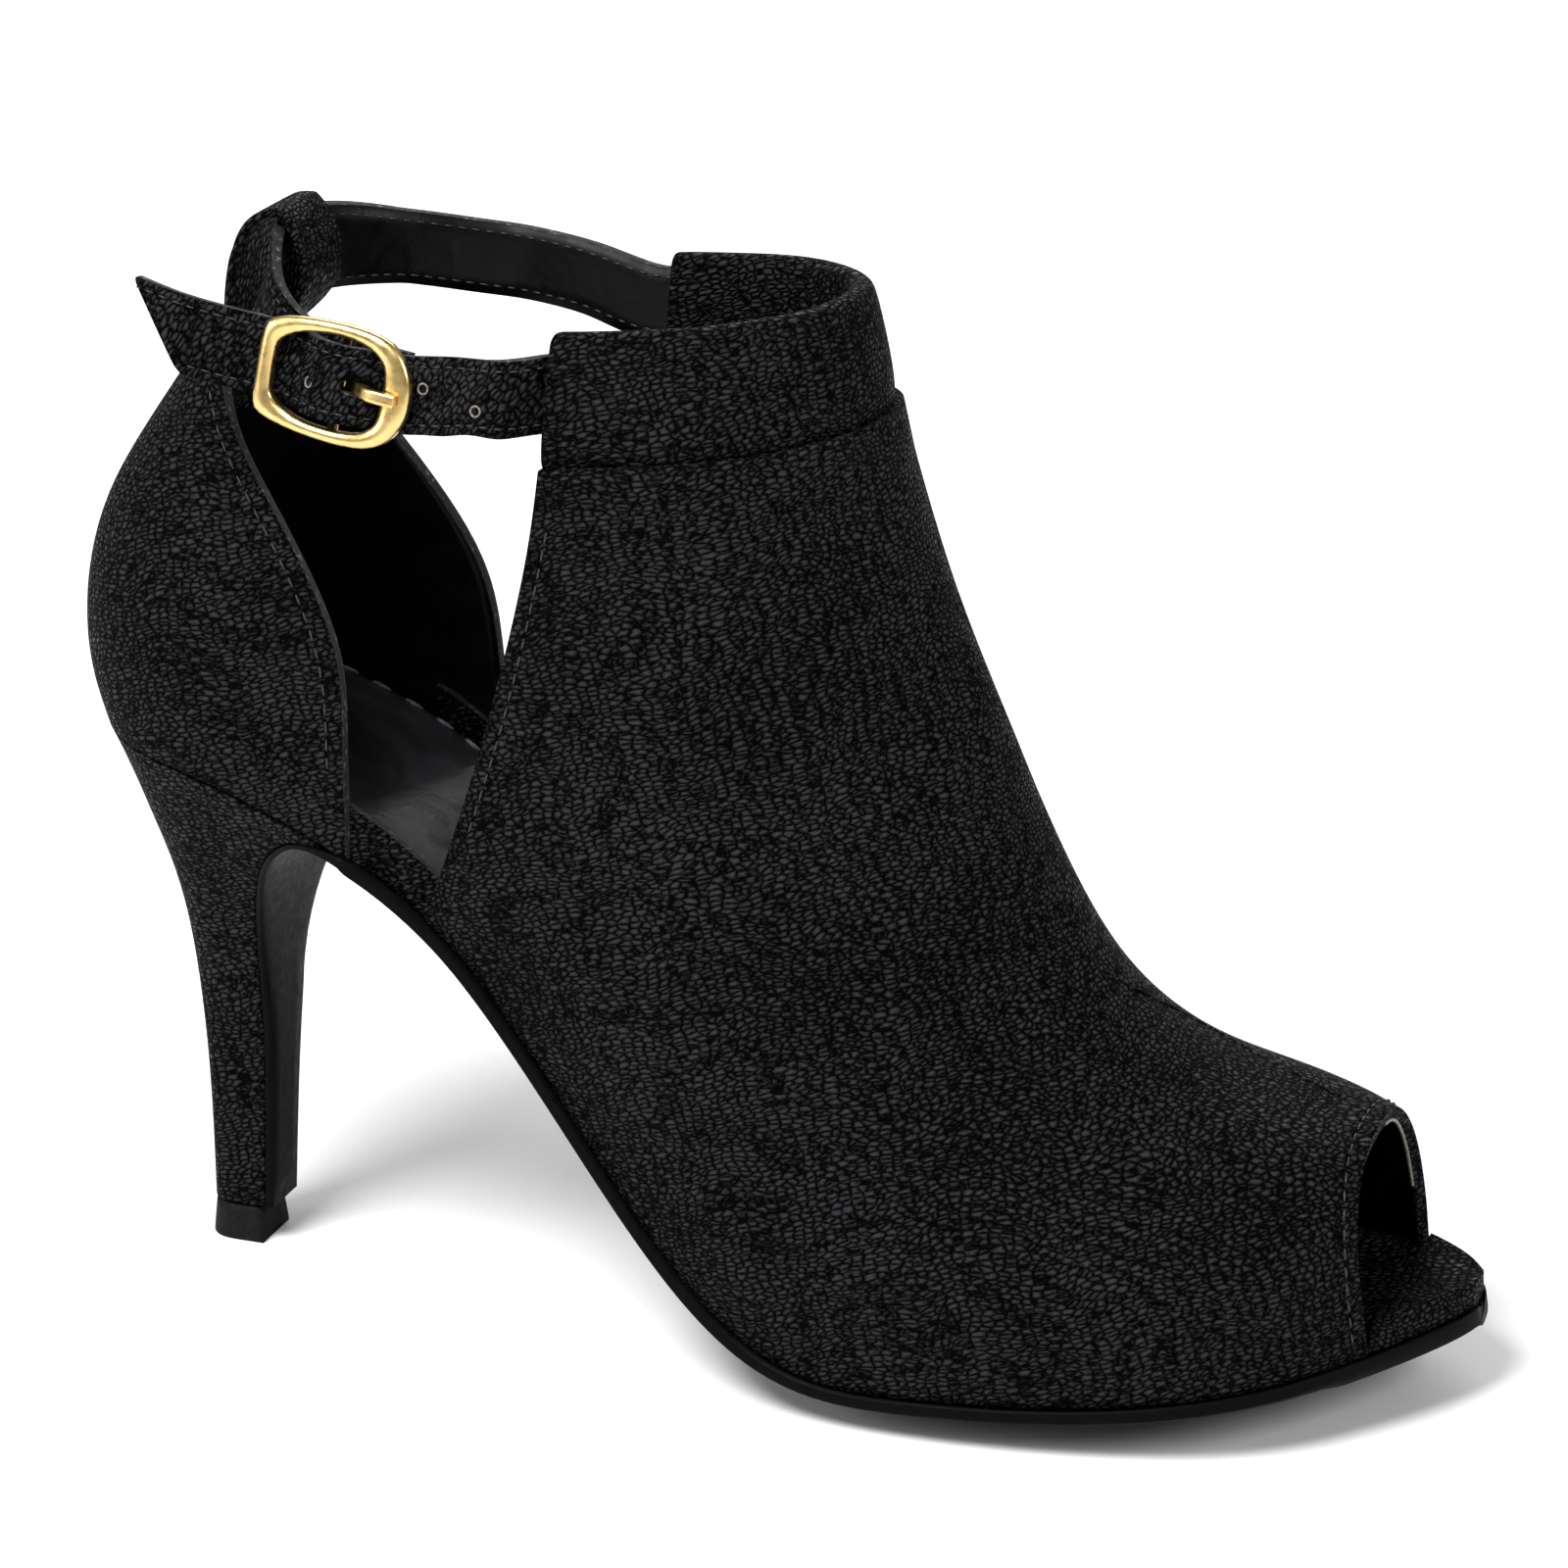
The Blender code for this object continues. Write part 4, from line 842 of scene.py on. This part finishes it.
dressed("heel_loop", "heel_loop_leather", [STRAP_LEATHER, LINING, STRAP_LEATHER],
        crease=0.4, sort=banded(Vector((0, 1, 0)), LOOP, lambda p: True))
for node, name, reshape, prepare in (
    ("strap_free_end", "strap_free_leather", moved_holes, blunted),
    ("strap_buckle_end", "strap_buckle_leather", straightened, None),
):
    strap, runs = dressed(node, name, [STRAP_LEATHER, LINING, RAW_EDGE], crease=0.45,
                          sort=banded(UPRIGHT, ANKLE, in_loop), reshape=reshape, prepare=prepare)
    strap_skin = surface_of(strap)
    mark_edges(strap, [inset_line(side[0], 0) for side in runs[:2]], STRAP_SEAM_INSET_MM)
    sewn(name.replace("leather", "stitches"), [inset_line(side[0], STRAP_SEAM_INSET_MM) for side in runs[:2]],
         strap_skin, STRAP_SEWING_MM)
    if node == "strap_free_end":
        free_skin = strap_skin

# Each hole is a flat dark disc of painted shade, standing for its hollow, with a thin pale rim
for number, (place, along, up) in enumerate(HOLES_MM, start=1):
    start = Vector((place[0] + along, OUTSIDE_MM, place[2] + up))
    back, front, low, high = (
        free_skin.ray_cast((start + Vector(step) * HOLE_PROBE_MM) * MM, -TO_BUCKLE_SIDE)[0]
        for step in ((-1, 0, 0), (1, 0, 0), (0, 0, -1), (0, 0, 1)))
    spot = (back + front + low + high) / 4
    facing = (front - back).cross(high - low).normalized()
    if facing.dot(TO_BUCKLE_SIDE) < 0:
        facing.negate()
    turn = facing.to_track_quat("Z", "Y").to_matrix().to_4x4()
    bpy.ops.object.select_all(action="DESELECT")
    bpy.ops.mesh.primitive_torus_add(major_radius=HOLE_RADIUS_MM * MM, minor_radius=HOLE_RIM_MM * MM,
                                     major_segments=24, minor_segments=8)
    rim = bpy.context.object
    rim.name = "hole_rim_%d" % number
    rim.data.transform(Matrix.Translation(spot + facing * HOLE_RIM_PROUD_MM * MM) @ turn)
    rim.data.materials.append(LINING_EDGE)
    # A flat dark disc over the hole: painted shade of its hollow
    bpy.ops.mesh.primitive_uv_sphere_add(segments=20, ring_count=10, radius=HOLE_RADIUS_MM * MM)
    painted_shade_disc = bpy.context.object
    painted_shade_disc.name = "hole_painted_shade_%d" % number
    flat = Matrix.Diagonal((1, 1, PAINTED_SHADE_DEPTH, 1))
    painted_shade_disc.data.transform(Matrix.Translation(spot + facing * PAINTED_SHADE_PROUD_MM * MM) @ turn @ flat)
    painted_shade_disc.data.materials.append(LINING)
    for piece in (rim, painted_shade_disc):
        pick(piece)
        bpy.ops.object.shade_smooth()
        settle(piece)

dressed("buckle_chape", "buckle_chape_leather", [STRAP_LEATHER])
dressed("buckle", "buckle_frame", [PLATE], crease=1.0, levels=1)
dressed("buckle_tongue", "buckle_tongue_pin", [PLATE], crease=0.5)

# The foot bed

# The toe pad's lateral corner comes back and out, most at its first station, and not beyond its reach
PAD_FROM_MM = 192.9
PAD_REACH_MM = 4
PAD_BACK_MM = 1.2
PAD_OUT_MM = 1.5
PAD_SIDE_MM = -9.3


def closed_up(piece):
    """The toe pad's side comes back to meet the vamp's edge."""
    for vertex in piece.data.vertices:
        place = vertex.co / MM
        if PAD_FROM_MM < place.x < PAD_FROM_MM + PAD_REACH_MM and place.y < 0:
            near = 1 - (place.x - PAD_FROM_MM) / PAD_REACH_MM
            vertex.co.x -= PAD_BACK_MM * near * MM
            if place.y < PAD_SIDE_MM:
                vertex.co.y -= PAD_OUT_MM * near * MM


def upwards(piece, groups):
    """The two largest skins, the one that looks up first, and then the cut edges."""
    faces = piece.data.polygons
    first, second = (sum(faces[index].area * faces[index].normal.z for index in group)
                     for group in groups[:2])
    return (groups[:2] if first >= second else groups[1::-1]) + groups[2:]


dressed("insole", "insole_board", [LEATHER], reshape=closed_up)
sock, sock_runs = dressed("sock", "sock_leather", [SOCK_COVER], sort=upwards)
sock_rim = sock_runs[0][0]
sewn("sock_stitches", [inset_line(sock_rim, SOCK_SEAM_INSET_MM)], surface_of(sock),
     SOCK_SEWING_MM, SOCK_THREAD_AND_HIGHLIGHT)

# Under the shoe
dressed("outsole", "outsole_rubber", [SOLE_RUBBER], crease=0.85)
dressed("heel", "heel_cover", [HEEL_LEATHER], crease=0.85)
dressed("top_lift", "top_lift_rubber", [LIFT_RUBBER], crease=0.85)
